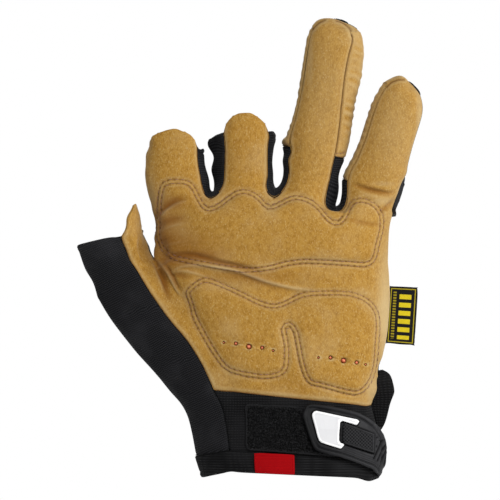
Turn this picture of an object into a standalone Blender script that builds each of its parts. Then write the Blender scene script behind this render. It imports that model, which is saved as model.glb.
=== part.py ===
"""Left-hand leather work glove with an open thumb, forefinger and middle finger, standing fingers up.

The glove is one fitted skin, drawn as rings of points from the cuff to each finger, and then cut along
its seams into panels. Each panel gets its wall on the inside. What is sewn or moulded on, such as the
wrist tab and the back guards, lies on that skin. Metres, +Z towards the fingertips, palm towards -Y,
thumb towards -X, with the origin in the middle of the cuff's opening.
"""

import math
from collections import namedtuple

import bmesh
import bpy
import numpy as np
from mathutils import Matrix, Vector

# Driving sizes of the fitted skin
CUFF_HEIGHT = 0.041
PALM_LENGTH = 0.084
WRIST_WIDTH = 0.085
PALM_WIDTH = 0.107
WRIST_DEPTH = 0.054
PALM_DEPTH = 0.041
THUMB_LENGTH = 0.0178
THUMB_WIDTH = 0.0300
THUMB_DEPTH = 0.0290
INDEX_LENGTH = 0.0308
MIDDLE_LENGTH = 0.0378
RING_LENGTH = 0.0845
LITTLE_LENGTH = 0.0610
INDEX_WIDTH = 0.0272
MIDDLE_WIDTH = 0.0262
RING_WIDTH = 0.0268
LITTLE_WIDTH = 0.0239
FINGER_DEPTH = 0.0240

# Walls, gaps and what is sewn on
LEATHER_WALL = 0.0016
FABRIC_WALL = 0.0012
HEM_WALL = 0.0024
HEM_LIFT = 0.0006
SEAM_GAP = 0.0003
LAY_GAP = 0.0003
FOAM_THICKNESS = 0.0020
PATCH_THICKNESS = 0.0009
TAB_THICKNESS = 0.0021
INSERT_THICKNESS = 0.0005
BADGE_THICKNESS = 0.0011
STRAP_THICKNESS = 0.0014
PULL_LOOP_THICKNESS = 0.0008
GUARD_THICKNESS = 0.0026
TIP_GUARD_THICKNESS = 0.0017
LABEL_REACH = 0.0122
LABEL_THICKNESS = 0.0008
FLAP_REACH = 0.0070
FLAP_THICKNESS = 0.0022
HOLE_RADIUS = 0.0012
HOLE_SIDES = 8

# Ring segments across one finger's front, one side, and the front of the thumb
ACROSS_FINGER = 4
ROUND_SIDE = 4
ACROSS_THUMB = 5
FINGER_COUNT = 4
SEAM_COLUMN = 3
SQUARENESS = 2.5
CORNER_SHARE = 0.045

# Colours and finishes: colour, roughness, metallic
TAN_LEATHER = ((0.52, 0.30, 0.085), 0.85, 0.0)
BLACK_FABRIC = ((0.012, 0.012, 0.014), 0.9, 0.0)
BLACK_RUBBER = ((0.02, 0.02, 0.022), 0.5, 0.0)
RED_WEBBING = ((0.55, 0.01, 0.01), 0.7, 0.0)
WHITE_VINYL = ((0.8, 0.8, 0.8), 0.4, 0.0)
ORANGE_FOAM = ((0.62, 0.13, 0.03), 0.8, 0.0)

# A height is a level: 0 to 1 up the cuff, 1 to 2 from the leather's lower edge to the finger roots.
# A sideways place is a share of the glove's width at that level, from the middle of the cuff.
BodyRow = namedtuple(
    "BodyRow",
    "left left_level seam seam_level knee knee_level right right_level front back valley steps",
)
BODY_ROWS = (
    BodyRow(-0.476, 0.040, -0.327, 0.110, -0.262, 0.100, 0.458, 0.030, 1.00, 1.00, 0.00, 2),
    BodyRow(-0.514, 0.280, -0.335, 0.344, -0.273, 0.333, 0.470, 0.220, 1.00, 1.00, 0.00, 2),
    BodyRow(-0.546, 0.621, -0.356, 0.655, -0.284, 0.644, 0.468, 0.488, 0.98, 0.98, 0.00, 3),
    BodyRow(-0.614, 0.977, -0.393, 0.999, -0.307, 0.988, 0.439, 0.821, 0.95, 0.95, 0.03, 3),
    BodyRow(-0.718, 1.194, -0.463, 1.238, -0.358, 1.238, 0.446, 1.091, 1.04, 0.98, 0.06, 4),
    BodyRow(-0.791, 1.373, -0.542, 1.395, -0.457, 1.460, 0.425, 1.433, 1.02, 1.00, 0.22, 4),
    BodyRow(-0.834, 1.514, -0.663, 1.660, -0.587, 1.682, 0.408, 1.693, 0.94, 0.94, 0.46, 1),
)
LEATHER_ROW = 7
HEM_ROWS = 2

PalmRow = namedtuple("PalmRow", "left left_level right right_level front back steps")
PALM_ROWS = (
    PalmRow(-0.587, 1.682, 0.408, 1.693, 0.94, 0.94, 3),
    PalmRow(-0.583, 1.855, 0.412, 1.834, 0.98, 0.92, 3),
    PalmRow(-0.608, 2.012, 0.429, 1.991, 0.90, 0.88, 1),
)
# Where the columns stand across the palm, from the thumb's root to the little finger's edge
PALM_COLUMNS = (
    0.0, 0.04, 0.10, 0.165, 0.229, 0.305, 0.385, 0.455, 0.517,
    0.575, 0.64, 0.71, 0.775, 0.84, 0.905, 0.96, 1.0,
)  # fmt: skip

# The tops of the four webs, thumb first: share of the width, and level
Web = namedtuple("Web", "across level")
THUMB_WEB = Web(-0.583, 1.712)
FINGER_WEBS = (Web(-0.344, 2.085), Web(-0.062, 2.090), Web(0.196, 2.030))
WEB_ROUNDING = 4

# A pad, fold or dent of the palm side: its middle, its size in shares of the palm's width and length,
# its turn in degrees, how far it rises as a share of the palm's depth, and how steep its edge is
Dent = namedtuple("Dent", "across level wide tall turn rise edge")
DENTS = (
    Dent(-0.070, 1.800, 0.42, 0.20, 0.0, 0.035, 2.0),
    Dent(-0.150, 1.300, 0.17, 0.26, 20.0, 0.045, 1.6),
    Dent(0.220, 1.280, 0.19, 0.28, 0.0, 0.045, 1.6),
    Dent(-0.300, 1.600, 0.34, 0.05, -12.0, -0.050, 1.0),
    Dent(0.020, 1.530, 0.16, 0.05, -4.0, -0.025, 1.0),
    Dent(0.330, 2.070, 0.10, 0.03, -6.0, -0.030, 1.0),
)

# A row of a finger: share of its length, shift to the right as a share of its width, and shares of
# its width and depth
FingerRow = namedtuple("FingerRow", "along aside wide deep")
Finger = namedtuple(
    "Finger",
    "name length width lean_root lean lean_tip curl turn rows closed side_end arch",
)
INDEX_ROWS = (
    FingerRow(0.18, -0.02, 1.04, 1.10),
    FingerRow(0.38, -0.05, 1.02, 1.03),
    FingerRow(0.56, -0.06, 1.01, 1.00),
    FingerRow(0.74, -0.05, 1.00, 1.00),
    FingerRow(0.88, -0.03, 0.97, 0.98),
    FingerRow(1.00, -0.02, 0.92, 0.95),
)
MIDDLE_ROWS = (
    FingerRow(0.16, -0.02, 1.02, 1.10),
    FingerRow(0.36, -0.03, 1.01, 1.03),
    FingerRow(0.54, -0.04, 1.00, 1.00),
    FingerRow(0.72, -0.04, 1.00, 1.00),
    FingerRow(0.87, -0.03, 0.97, 0.98),
    FingerRow(1.00, -0.02, 0.92, 0.95),
)
RING_ROWS = (
    FingerRow(0.06, 0.01, 1.02, 1.14),
    FingerRow(0.13, 0.03, 1.02, 1.08),
    FingerRow(0.20, 0.04, 1.03, 1.04),
    FingerRow(0.27, 0.04, 1.06, 1.02),
    FingerRow(0.34, 0.04, 1.06, 1.00),
    FingerRow(0.42, 0.04, 1.02, 0.98),
    FingerRow(0.50, 0.04, 1.00, 0.97),
    FingerRow(0.58, 0.04, 0.99, 0.98),
    FingerRow(0.66, 0.04, 1.00, 1.00),
    FingerRow(0.74, 0.04, 1.03, 1.00),
    FingerRow(0.82, 0.05, 1.03, 0.97),
    FingerRow(0.89, 0.05, 0.99, 0.88),
    FingerRow(0.945, 0.04, 0.86, 0.72),
)
LITTLE_ROWS = (
    FingerRow(0.07, 0.05, 1.06, 1.12),
    FingerRow(0.15, 0.07, 1.08, 1.08),
    FingerRow(0.24, 0.08, 1.06, 1.04),
    FingerRow(0.34, 0.08, 1.02, 1.02),
    FingerRow(0.44, 0.07, 1.00, 1.00),
    FingerRow(0.54, 0.06, 1.00, 1.00),
    FingerRow(0.64, 0.06, 1.00, 1.00),
    FingerRow(0.74, 0.06, 1.00, 0.98),
    FingerRow(0.83, 0.06, 0.95, 0.90),
    FingerRow(0.92, 0.05, 0.80, 0.72),
)
FINGERS = (
    Finger("index", INDEX_LENGTH, INDEX_WIDTH, -12.0, -3.0, -3.0, 0.03, 8.0, INDEX_ROWS, False, 5, 0.22),
    Finger("middle", MIDDLE_LENGTH, MIDDLE_WIDTH, -1.0, 1.0, 1.0, 0.03, -2.0, MIDDLE_ROWS, False, 5, 0.18),
    Finger("ring", RING_LENGTH, RING_WIDTH, 11.0, 11.0, 1.0, 0.10, 16.0, RING_ROWS, True, 4, 0.0),
    Finger("little", LITTLE_LENGTH, LITTLE_WIDTH, 24.0, 17.5, 14.0, 0.10, 4.0, LITTLE_ROWS, True, 2, 0.0),
)
RING_OUTER_SIDE_START = 4
TIP_DOME = 0.060

# Places on the skin are a column and a row of its rings. The body's columns count from the thumb
# side across the palm to 21, round the edge to 25 and on over the back, its rows from the hem to 18.
Spot = namedtuple("Spot", "column row")
PATCH = (Spot(6.0, 2.15), Spot(6.5, 5.85), Spot(16.5, 6.30), Spot(16.5, 2.15))
CLOSURE_TAB = (
    Spot(13.0, 6.05), Spot(14.5, 6.55), Spot(18.0, 6.30), Spot(20.4, 5.85), Spot(22.0, 4.90),
    Spot(23.0, 3.95), Spot(24.9, 3.60), Spot(24.9, 0.25), Spot(22.5, 0.20), Spot(20.6, 0.85),
    Spot(17.9, 1.45), Spot(14.5, 2.15), Spot(13.4, 2.60), Spot(12.8, 3.90),
)  # fmt: skip
TAB_INSERT = (
    Spot(13.9, 5.85), Spot(17.0, 5.65), Spot(19.2, 5.30), Spot(18.8, 4.85), Spot(16.6, 5.00),
    Spot(16.1, 3.40), Spot(16.8, 2.95), Spot(16.4, 2.65), Spot(14.8, 2.90), Spot(14.1, 3.30),
)  # fmt: skip
TAB_BADGE = (Spot(17.1, 4.80), Spot(21.0, 4.05), Spot(20.9, 2.40), Spot(16.7, 3.10))
STRAP = (Spot(25.06, 3.60), Spot(35.0, 3.70), Spot(36.0, 3.20), Spot(36.0, 0.80), Spot(35.0, 0.40),
         Spot(25.06, 0.25))  # fmt: skip
PULL_LOOP = (Spot(7.0, 0.05), Spot(7.05, 1.94), Spot(11.3, 2.00), Spot(11.3, 0.05))
HEEL_FOAM_INNER = (
    Spot(6.6, 14.4), Spot(5.4, 11.0), Spot(6.0, 9.3), Spot(8.2, 8.8), Spot(10.8, 9.0),
    Spot(11.9, 11.5), Spot(11.3, 13.8), Spot(9.4, 14.8),
)  # fmt: skip
HEEL_FOAM_OUTER = (
    Spot(13.9, 11.5), Spot(14.3, 9.2), Spot(17.9, 8.7), Spot(20.4, 9.6), Spot(20.5, 13.0),
    Spot(19.4, 14.2), Spot(17.8, 14.6), Spot(15.5, 14.5), Spot(14.1, 13.3),
)  # fmt: skip
# Over the little finger's knuckle, from the hand's edge to its back, its columns from the edge's
# front corner and its rows from the palm's third, and on the fingertips' backs
GUARD_FIRST_ROW = 3
LITTLE_GUARD = (
    Spot(2.0, 1.95), Spot(1.5, 2.8), Spot(1.3, 4.0), Spot(1.9, 5.2), Spot(3.0, 6.1), Spot(4.8, 6.6),
    Spot(7.2, 6.2), Spot(7.6, 4.4), Spot(6.6, 2.7), Spot(4.2, 1.8),
)  # fmt: skip
RING_TIP_GUARD = (
    Spot(0.5, 10.3), Spot(0.3, 12.3), Spot(0.6, 13.2), Spot(2.0, 13.6), Spot(3.4, 13.2),
    Spot(3.7, 12.3), Spot(3.5, 10.3), Spot(2.0, 9.9),
)  # fmt: skip
LITTLE_TIP_GUARD = (
    Spot(0.5, 7.3), Spot(0.3, 9.3), Spot(0.6, 10.2), Spot(2.0, 10.6), Spot(3.4, 10.2),
    Spot(3.7, 9.3), Spot(3.5, 7.3), Spot(2.0, 6.9),
)  # fmt: skip

# A perforation through the leather to the foam, its radius a share of the largest one's
Hole = namedtuple("Hole", "column row wide")
HOLES = (
    Hole(6.70, 10.55, 0.46),
    Hole(7.89, 10.62, 0.72),
    Hole(9.07, 10.51, 1.00),
    Hole(10.13, 10.58, 0.72),
    Hole(10.94, 10.46, 0.46),
    Hole(15.24, 10.42, 0.46),
    Hole(16.33, 10.55, 0.72),
    Hole(17.55, 10.46, 1.00),
    Hole(18.78, 10.45, 0.72),
    Hole(19.76, 10.41, 0.46),
)

# How far what stands out from the edge of the hand reaches at a row, as a share of its whole reach
Reach = namedtuple("Reach", "row out")
EDGE_COLUMN = 23.3
LABEL_ROWS = (Reach(11.93, 1.0), Reach(13.0, 1.0), Reach(14.0, 1.0), Reach(15.0, 1.0), Reach(15.58, 1.0))
FLAP_ROWS = (
    Reach(4.5, 0.15), Reach(5.2, 0.62), Reach(6.0, 0.95), Reach(7.0, 1.00), Reach(8.0, 1.00),
    Reach(8.8, 0.95), Reach(9.4, 0.72), Reach(9.8, 0.45), Reach(10.2, 0.15),
)  # fmt: skip

# A row of the thumb: share of its length, lean, shift aside, width and depth as shares of its width
# and depth, and shift forward. Past the black rim only a leather tab goes on, from its seam's angle
# to the side of the thumb.
ThumbRow = namedtuple("ThumbRow", "along lean aside wide deep forward seam")
THUMB_ROWS = (
    ThumbRow(0.25, -29.0, -0.04, 1.10, 1.03, 0.05, 80.0),
    ThumbRow(0.50, -25.0, -0.06, 1.11, 1.02, 0.10, 80.0),
    ThumbRow(0.75, -20.0, -0.07, 1.09, 1.01, 0.15, 79.0),
    ThumbRow(1.00, -13.0, -0.07, 1.09, 1.00, 0.20, 77.0),
    ThumbRow(1.22, -13.0, -0.05, 1.04, 0.98, 0.22, 63.0),
    ThumbRow(1.46, -13.0, -0.03, 1.00, 0.96, 0.24, 46.0),
    ThumbRow(1.68, -13.0, -0.02, 0.97, 0.94, 0.25, 30.0),
)
THUMB_BLACK_ROWS = 4
THUMB_PATH_LEAN = -20.0
RING_CORNER = 42.0

PANELS = (
    "none",
    "palm_leather",
    "thumb_fabric",
    "back_fabric",
    "cuff_front",
    "cuff_hem",
    "gusset_index_middle",
    "gusset_middle_ring",
    "gusset_ring_little",
    "ring_sidewall_inner",
    "ring_sidewall_outer",
    "little_sidewall",
)
PANEL = {name: number for number, name in enumerate(PANELS)}
LEATHER_PANELS = ("palm_leather", "ring_sidewall_inner", "ring_sidewall_outer", "little_sidewall")


def smooth(share):
    share = min(max(share, 0.0), 1.0)
    return share * share * (3.0 - 2.0 * share)


def height_of(level):
    return CUFF_HEIGHT * level if level <= 1.0 else CUFF_HEIGHT + PALM_LENGTH * (level - 1.0)


def width_at(level):
    return WRIST_WIDTH + (PALM_WIDTH - WRIST_WIDTH) * smooth((level - 0.7) / 0.9)


def depth_at(level):
    return WRIST_DEPTH + (PALM_DEPTH - WRIST_DEPTH) * smooth((level - 0.3) / 1.2)


def place(across, level):
    return np.array((across * width_at(level), 0.0, height_of(level)))


def spaced_rows(rows):
    """The rows with their steps filled in along a smooth curve through them."""
    values = np.array([row[:-1] for row in rows], float)
    found = []
    for i, row in enumerate(rows[:-1]):
        before, after = values[max(i - 1, 0)], values[min(i + 2, len(rows) - 1)]
        start, end = values[i], values[i + 1]
        for step in range(row.steps):
            t = step / row.steps
            bend = (end - before) * t * (1 - t) ** 2 - (after - start) * (1 - t) * t**2
            found.append(start + (end - start) * smooth(t) + 0.5 * bend)
    found.append(values[-1])
    return [type(rows[0])(*row, 1) for row in found]


def bulge(across):
    """The half depth, as a share, of a squarish section at a place from -1 to 1 across it."""
    return max(0.0, 1.0 - abs(across) ** SQUARENESS) ** (1.0 / SQUARENESS)


def side_places(corner):
    """(across, deep) of the points round one side, between the front corner and the back one."""
    edge = bulge(corner)
    found = []
    for step in range(1, ROUND_SIDE):
        deep = edge * (1.0 - 2.0 * step / ROUND_SIDE)
        found.append((max(0.0, 1.0 - abs(deep) ** SQUARENESS) ** (1.0 / SQUARENESS), deep))
    return found


def flat_ring(columns, ends, front, back, valley=None):
    """A ring through columns, a list of (x, z) across the front. Its order is front, right, back, left."""
    (left, left_z), (right, right_z) = ends
    middle, half = (left + right) / 2, (right - left) / 2
    places = [(x - middle) / half for x, _ in columns]
    dips = valley or [0.0] * len(columns)
    points = [
        (x, -front * bulge(w) * (1 - dip), z) for (x, z), w, dip in zip(columns, places, dips)
    ]
    for w, deep in side_places(places[-1]):
        points.append((middle + half * w, -deep * (front if deep > 0 else back), right_z))
    points += [
        (x, back * bulge(w) * (1 - dip), z)
        for (x, z), w, dip in reversed(list(zip(columns, places, dips)))
    ]
    for w, deep in reversed(side_places(places[0])):
        points.append((middle - half * w, -deep * (front if deep > 0 else back), left_z))
    return [np.array(point) for point in points]


def between(path, x):
    """The z of a broken line, a list of (x, z), at x."""
    return float(np.interp(x, [p[0] for p in path], [p[1] for p in path]))


def body_ring(row):
    path = [
        place(across, level)
        for across, level in (
            (row.left, row.left_level),
            (row.seam, row.seam_level),
            (row.knee, row.knee_level),
            (row.right, row.right_level),
        )
    ]
    left, seam, knee, right = (point[0] for point in path)
    corner = CORNER_SHARE * (right - left)
    xs = [left + corner + (seam - left - corner) * i / SEAM_COLUMN for i in range(SEAM_COLUMN)]
    thumb_left = ACROSS_THUMB - SEAM_COLUMN
    xs += [seam + (knee - seam) * i / thumb_left for i in range(thumb_left)]
    xs += [knee + (right - corner - knee) * share for share in PALM_COLUMNS]
    line = [(point[0], point[2]) for point in path]
    valley = [row.valley * math.exp(-(((i - ACROSS_THUMB) / 1.3) ** 2)) for i in range(len(xs))]
    depth = depth_at(row.knee_level) / 2
    columns = [(x, between(line, x)) for x in xs]
    return flat_ring(columns, (line[0], line[-1]), depth * row.front, depth * row.back, valley)


def palm_ring(row, inset):
    """A ring of the palm. Inset is how far, from 0 to 1, its left corner has drawn in from the web."""
    left, right = place(row.left, row.left_level), place(row.right, row.right_level)
    line = [(left[0], left[2]), (right[0], right[2])]
    corner = CORNER_SHARE * (right[0] - left[0])
    start = left[0] + corner * inset
    xs = [start + (right[0] - corner - start) * share for share in PALM_COLUMNS]
    depth = depth_at(row.left_level) / 2
    columns = [(x, between(line, x)) for x in xs]
    return flat_ring(columns, (line[0], line[-1]), depth * row.front, depth * row.back)


def ring_angles(across):
    """The angles round a finger's ring, in degrees from its right side, in the order of all rings."""
    face = [180 - RING_CORNER - (180 - 2 * RING_CORNER) * i / across for i in range(across + 1)]
    side = [RING_CORNER * (1 - 2 * i / ROUND_SIDE) for i in range(1, ROUND_SIDE)]
    return face + side + [-a for a in reversed(face)] + [180 - a for a in reversed(side)]


def round_ring(centre, lean, width, depth, angles, rises=None):
    """Points of a squarish ring about a centre, leaning by degrees from upright."""
    sideways = np.array((math.cos(math.radians(lean)), 0.0, -math.sin(math.radians(lean))))
    upwards = np.array((math.sin(math.radians(lean)), 0.0, math.cos(math.radians(lean))))
    points = []
    for number, angle in enumerate(angles):
        a = math.radians(angle)
        u = math.copysign(abs(math.cos(a)) ** (2 / SQUARENESS), math.cos(a)) * width / 2
        v = math.copysign(abs(math.sin(a)) ** (2 / SQUARENESS), math.sin(a)) * depth / 2
        rise = rises[number] if rises else 0.0
        points.append(centre + sideways * u - np.array((0.0, v, 0.0)) + upwards * rise)
    return points


class Skin:
    """The glove's fitted outer skin: rings of vertices bridged by faces that know their panel."""

    def __init__(self):
        self.mesh = bmesh.new()
        self.panel = self.mesh.faces.layers.int.new("panel")
        self.loose = set()

    def ring(self, points):
        return [self.mesh.verts.new(point) for point in points]

    def bridge(self, low, high, panels):
        """Faces between two rings, the panel of each given by its segment. "none" leaves a hole."""
        count = len(low)
        for i in range(count):
            if panels[i] == "none":
                continue
            after = (i + 1) % count
            face = self.mesh.faces.new((low[i], low[after], high[after], high[i]))
            face[self.panel] = PANEL[panels[i]]

    def web(self, front, back, top):
        """The points that join a front vertex to a back one over a web, in order front to back."""
        found = []
        for step in range(1, ROUND_SIDE):
            t = step / ROUND_SIDE
            point = np.array(front.co) * (1 - t) + np.array(back.co) * t
            lift = math.sin(math.pi * t)
            point[0] += (top[0] - point[0]) * lift
            point[2] += (top[2] - point[2]) * lift
            found.append(self.mesh.verts.new(point))
        self.loose.update([front, back, *found])
        return found


def body_panels(row):
    """The panel of each of the body's ring segments, in the ring's order, for the strip above a row."""
    front = ACROSS_THUMB + ACROSS_FINGER * FINGER_COUNT
    if row < HEM_ROWS:
        return ["cuff_hem"] * (2 * front + 2 * ROUND_SIDE)
    main = "cuff_front" if row < LEATHER_ROW else "palm_leather"
    half = ROUND_SIDE // 2
    return (
        ["thumb_fabric"] * SEAM_COLUMN
        + [main] * (front - SEAM_COLUMN + half)
        + ["back_fabric"] * (half + front + half)
        + ["thumb_fabric"] * half
    )


def panels_of(front, right, back, left):
    """Segment panels of a ring of a finger or the palm. A side is given as its front and back half."""
    half = ROUND_SIDE // 2
    return front + [right[0]] * half + [right[1]] * half + back + [left[1]] * half + [left[0]] * half


def finger_panels(finger, row):
    """The panels of the strip above a row of a finger. Row 0 is its root."""
    front, back = ["palm_leather"] * ACROSS_FINGER, ["back_fabric"] * ACROSS_FINGER
    edge = ("palm_leather", "back_fabric")
    if finger.name in ("index", "middle"):
        past = row >= finger.side_end
        back = ["none"] * ACROSS_FINGER if past else back
        between_fingers = "none" if past else "gusset_index_middle"
        if finger.name == "index":
            left = ("palm_leather", "none") if past else edge
            return panels_of(front, (between_fingers,) * 2, back, left)
        right = "none" if past else "gusset_middle_ring"
        return panels_of(front, (right,) * 2, back, (between_fingers,) * 2)
    if finger.name == "ring":
        left = "gusset_middle_ring" if row < finger.side_end else "ring_sidewall_inner"
        right = "gusset_ring_little" if row < RING_OUTER_SIDE_START else "ring_sidewall_outer"
        return panels_of(front, (right,) * 2, back, (left,) * 2)
    left = "gusset_ring_little" if row < finger.side_end else "little_sidewall"
    return panels_of(front, edge, back, (left,) * 2)


def finger_rings(finger, root):
    """The rings of a finger above its root, as lists of points."""
    centre = sum(np.array(v.co) for v in root) / len(root)
    found, along = [], 0.0
    for row in finger.rows:
        share = smooth(min(row.along / 0.4, 1.0))
        lean = finger.lean_root + (finger.lean - finger.lean_root) * share
        lean += (finger.lean_tip - finger.lean) * smooth((row.along - 0.72) / 0.22)
        step = (row.along - along) * finger.length
        centre = centre + step * np.array(
            (math.sin(math.radians(lean)), -finger.curl * row.along * 2, math.cos(math.radians(lean)))
        )
        along = row.along
        arch = finger.arch * finger.width * smooth((row.along - 0.6) / 0.4)
        angles = ring_angles(ACROSS_FINGER)
        rises = [
            arch * (0.5 - (2 * i / ACROSS_FINGER - 1) ** 2) if i <= ACROSS_FINGER else -arch * 0.5
            for i in range(len(angles))
        ]
        found.append(
            round_ring(
                centre + np.array((row.aside * finger.width, 0.0, 0.0)),
                lean,
                finger.width * row.wide,
                FINGER_DEPTH * row.deep * finger.width / RING_WIDTH,
                [angle + finger.turn * share for angle in angles],
                rises,
            )
        )
    return found, centre + np.array((finger.rows[-1].aside * finger.width, 0.0, 0.0)), lean


def close_tip(skin, ring, finger, centre, lean):
    """Closes a finger's last ring with a domed grid, its front half leather and its back half fabric."""
    count = ACROSS_FINGER
    upwards = np.array((math.sin(math.radians(lean)), 0.0, math.cos(math.radians(lean))))
    dome = TIP_DOME * finger.length
    grid = {}
    for i in range(count + 1):
        grid[i, 0] = ring[i]
        grid[i, count] = ring[count + ROUND_SIDE + (count - i)]
    for j in range(1, count):
        grid[count, j] = ring[count + j]
        grid[0, j] = ring[-j]
    for i in range(1, count):
        for j in range(1, count):
            p, q = 2 * i / count - 1, 2 * j / count - 1
            reach = max(abs(p), abs(q))
            if reach == 0:
                grid[i, j] = skin.mesh.verts.new(centre + upwards * dome * 1.35)
                continue
            edge_i = round((p / reach + 1) * count / 2)
            edge_j = round((q / reach + 1) * count / 2)
            edge = np.array(grid[edge_i, edge_j].co)
            point = centre + (edge - centre) * reach * 1.12 + upwards * dome * (1 - reach**2) * 1.35
            grid[i, j] = skin.mesh.verts.new(point)
    for i in range(count):
        for j in range(count):
            corners = (grid[i, j], grid[i + 1, j], grid[i + 1, j + 1], grid[i, j + 1])
            face = skin.mesh.faces.new(corners)
            name = "palm_leather" if j < count // 2 else "back_fabric"
            face[skin.panel] = PANEL[name]
    return [[grid[i, j] for i in range(count, -1, -1)] for j in range(count - 1, count // 2 - 1, -1)]


def build_skin():
    """The whole skin, and the body's rings for what is laid on them."""
    skin = Skin()
    rows = spaced_rows(BODY_ROWS)
    body = [skin.ring(body_ring(row)) for row in rows]
    for number, (low, high) in enumerate(zip(body, body[1:])):
        skin.bridge(low, high, body_panels(number))
    front = ACROSS_THUMB + ACROSS_FINGER * FINGER_COUNT
    top = body[-1]
    back_knee = 2 * front + ROUND_SIDE - ACROSS_THUMB
    web = skin.web(top[ACROSS_THUMB], top[back_knee], place(THUMB_WEB.across, THUMB_WEB.level))
    thumb = top[: ACROSS_THUMB + 1] + web + top[back_knee:]
    palm = top[ACROSS_THUMB : back_knee + 1] + list(reversed(web))
    rings = {"body": body, "thumb": build_thumb(skin, thumb), "palm": build_palm(skin, palm)}
    for name, (kept, tip) in build_fingers(skin, rings["palm"][-1]).items():
        rings[name], rings[name + "_tip"] = kept, tip
    return skin, rings


def build_thumb(skin, root):
    centre = sum(np.array(v.co) for v in root) / len(root)
    path = math.radians(THUMB_PATH_LEAN)
    angles = ring_angles(ACROSS_THUMB)
    rings = [root]
    for number, row in enumerate(THUMB_ROWS):
        step = row.along * THUMB_LENGTH
        aside = math.sin(path) * step + row.aside * THUMB_WIDTH
        shift = np.array((aside, -row.forward * THUMB_DEPTH, math.cos(path) * step))
        past = number >= THUMB_BLACK_ROWS
        chosen = list(angles)
        count = ACROSS_THUMB - SEAM_COLUMN + ROUND_SIDE // 2
        for i in range(count + 1):
            chosen[SEAM_COLUMN + i] = row.seam * (1 - i / count)
        size = (THUMB_WIDTH * row.wide, THUMB_DEPTH * row.deep)
        points = round_ring(centre + shift, row.lean, *size, chosen)
        if past:
            kept = range(SEAM_COLUMN, SEAM_COLUMN + count + 1)
            ring = [skin.mesh.verts.new(p) if i in kept else None for i, p in enumerate(points)]
        else:
            ring = skin.ring(points)
        black, back = ("none", "none") if past else ("thumb_fabric", "back_fabric")
        tan = ["palm_leather"] * (ACROSS_THUMB - SEAM_COLUMN)
        panels = panels_of(
            [black] * SEAM_COLUMN + tan, ("palm_leather", back), [back] * ACROSS_THUMB, (black, back)
        )
        skin.bridge(rings[-1], ring, panels)
        rings.append(ring)
    skin.loose.update(rings[1])
    return rings


def build_palm(skin, root):
    rings = [root]
    front = ACROSS_FINGER * FINGER_COUNT
    for number, row in enumerate(spaced_rows(PALM_ROWS)[1:], 1):
        high = skin.ring(palm_ring(row, smooth(number / PALM_ROWS[0].steps)))
        panels = panels_of(
            ["palm_leather"] * front,
            ("palm_leather", "back_fabric"),
            ["back_fabric"] * front,
            ("palm_leather", "back_fabric"),
        )
        skin.bridge(rings[-1], high, panels)
        rings.append(high)
    skin.loose.update(rings[1][-ROUND_SIDE - 1 :] + rings[-1])
    return rings


def build_fingers(skin, knuckles):
    """The four fingers. Their rings are kept, and the rows of a closed tip's back."""
    front = ACROSS_FINGER * FINGER_COUNT
    corner = 2 * front + ROUND_SIDE
    webs, found = [], {}
    for number, web in enumerate(FINGER_WEBS, 1):
        column = number * ACROSS_FINGER
        front_vertex, back_vertex = knuckles[column], knuckles[corner - column]
        webs.append(skin.web(front_vertex, back_vertex, place(web.across, web.level)))
    edge_left, edge_right = knuckles[corner + 1 :], knuckles[front + 1 : front + ROUND_SIDE]
    for number, finger in enumerate(FINGERS):
        start, end = number * ACROSS_FINGER, (number + 1) * ACROSS_FINGER
        right = webs[number] if number < len(webs) else edge_right
        left = list(reversed(webs[number - 1])) if number else edge_left
        root = knuckles[start : end + 1] + right + knuckles[corner - end : corner - start + 1] + left
        rings, centre, lean = finger_rings(finger, root)
        kept = [root]
        for row, points in enumerate(rings):
            kept.append(skin.ring(points))
            skin.bridge(kept[-2], kept[-1], finger_panels(finger, row))
        skin.loose.update(kept[1])
        tip = close_tip(skin, kept[-1], finger, centre, lean) if finger.closed else []
        found[finger.name] = (kept, tip)
    return found


def remove_all():
    for obj in list(bpy.data.objects):
        bpy.data.objects.remove(obj)


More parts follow.
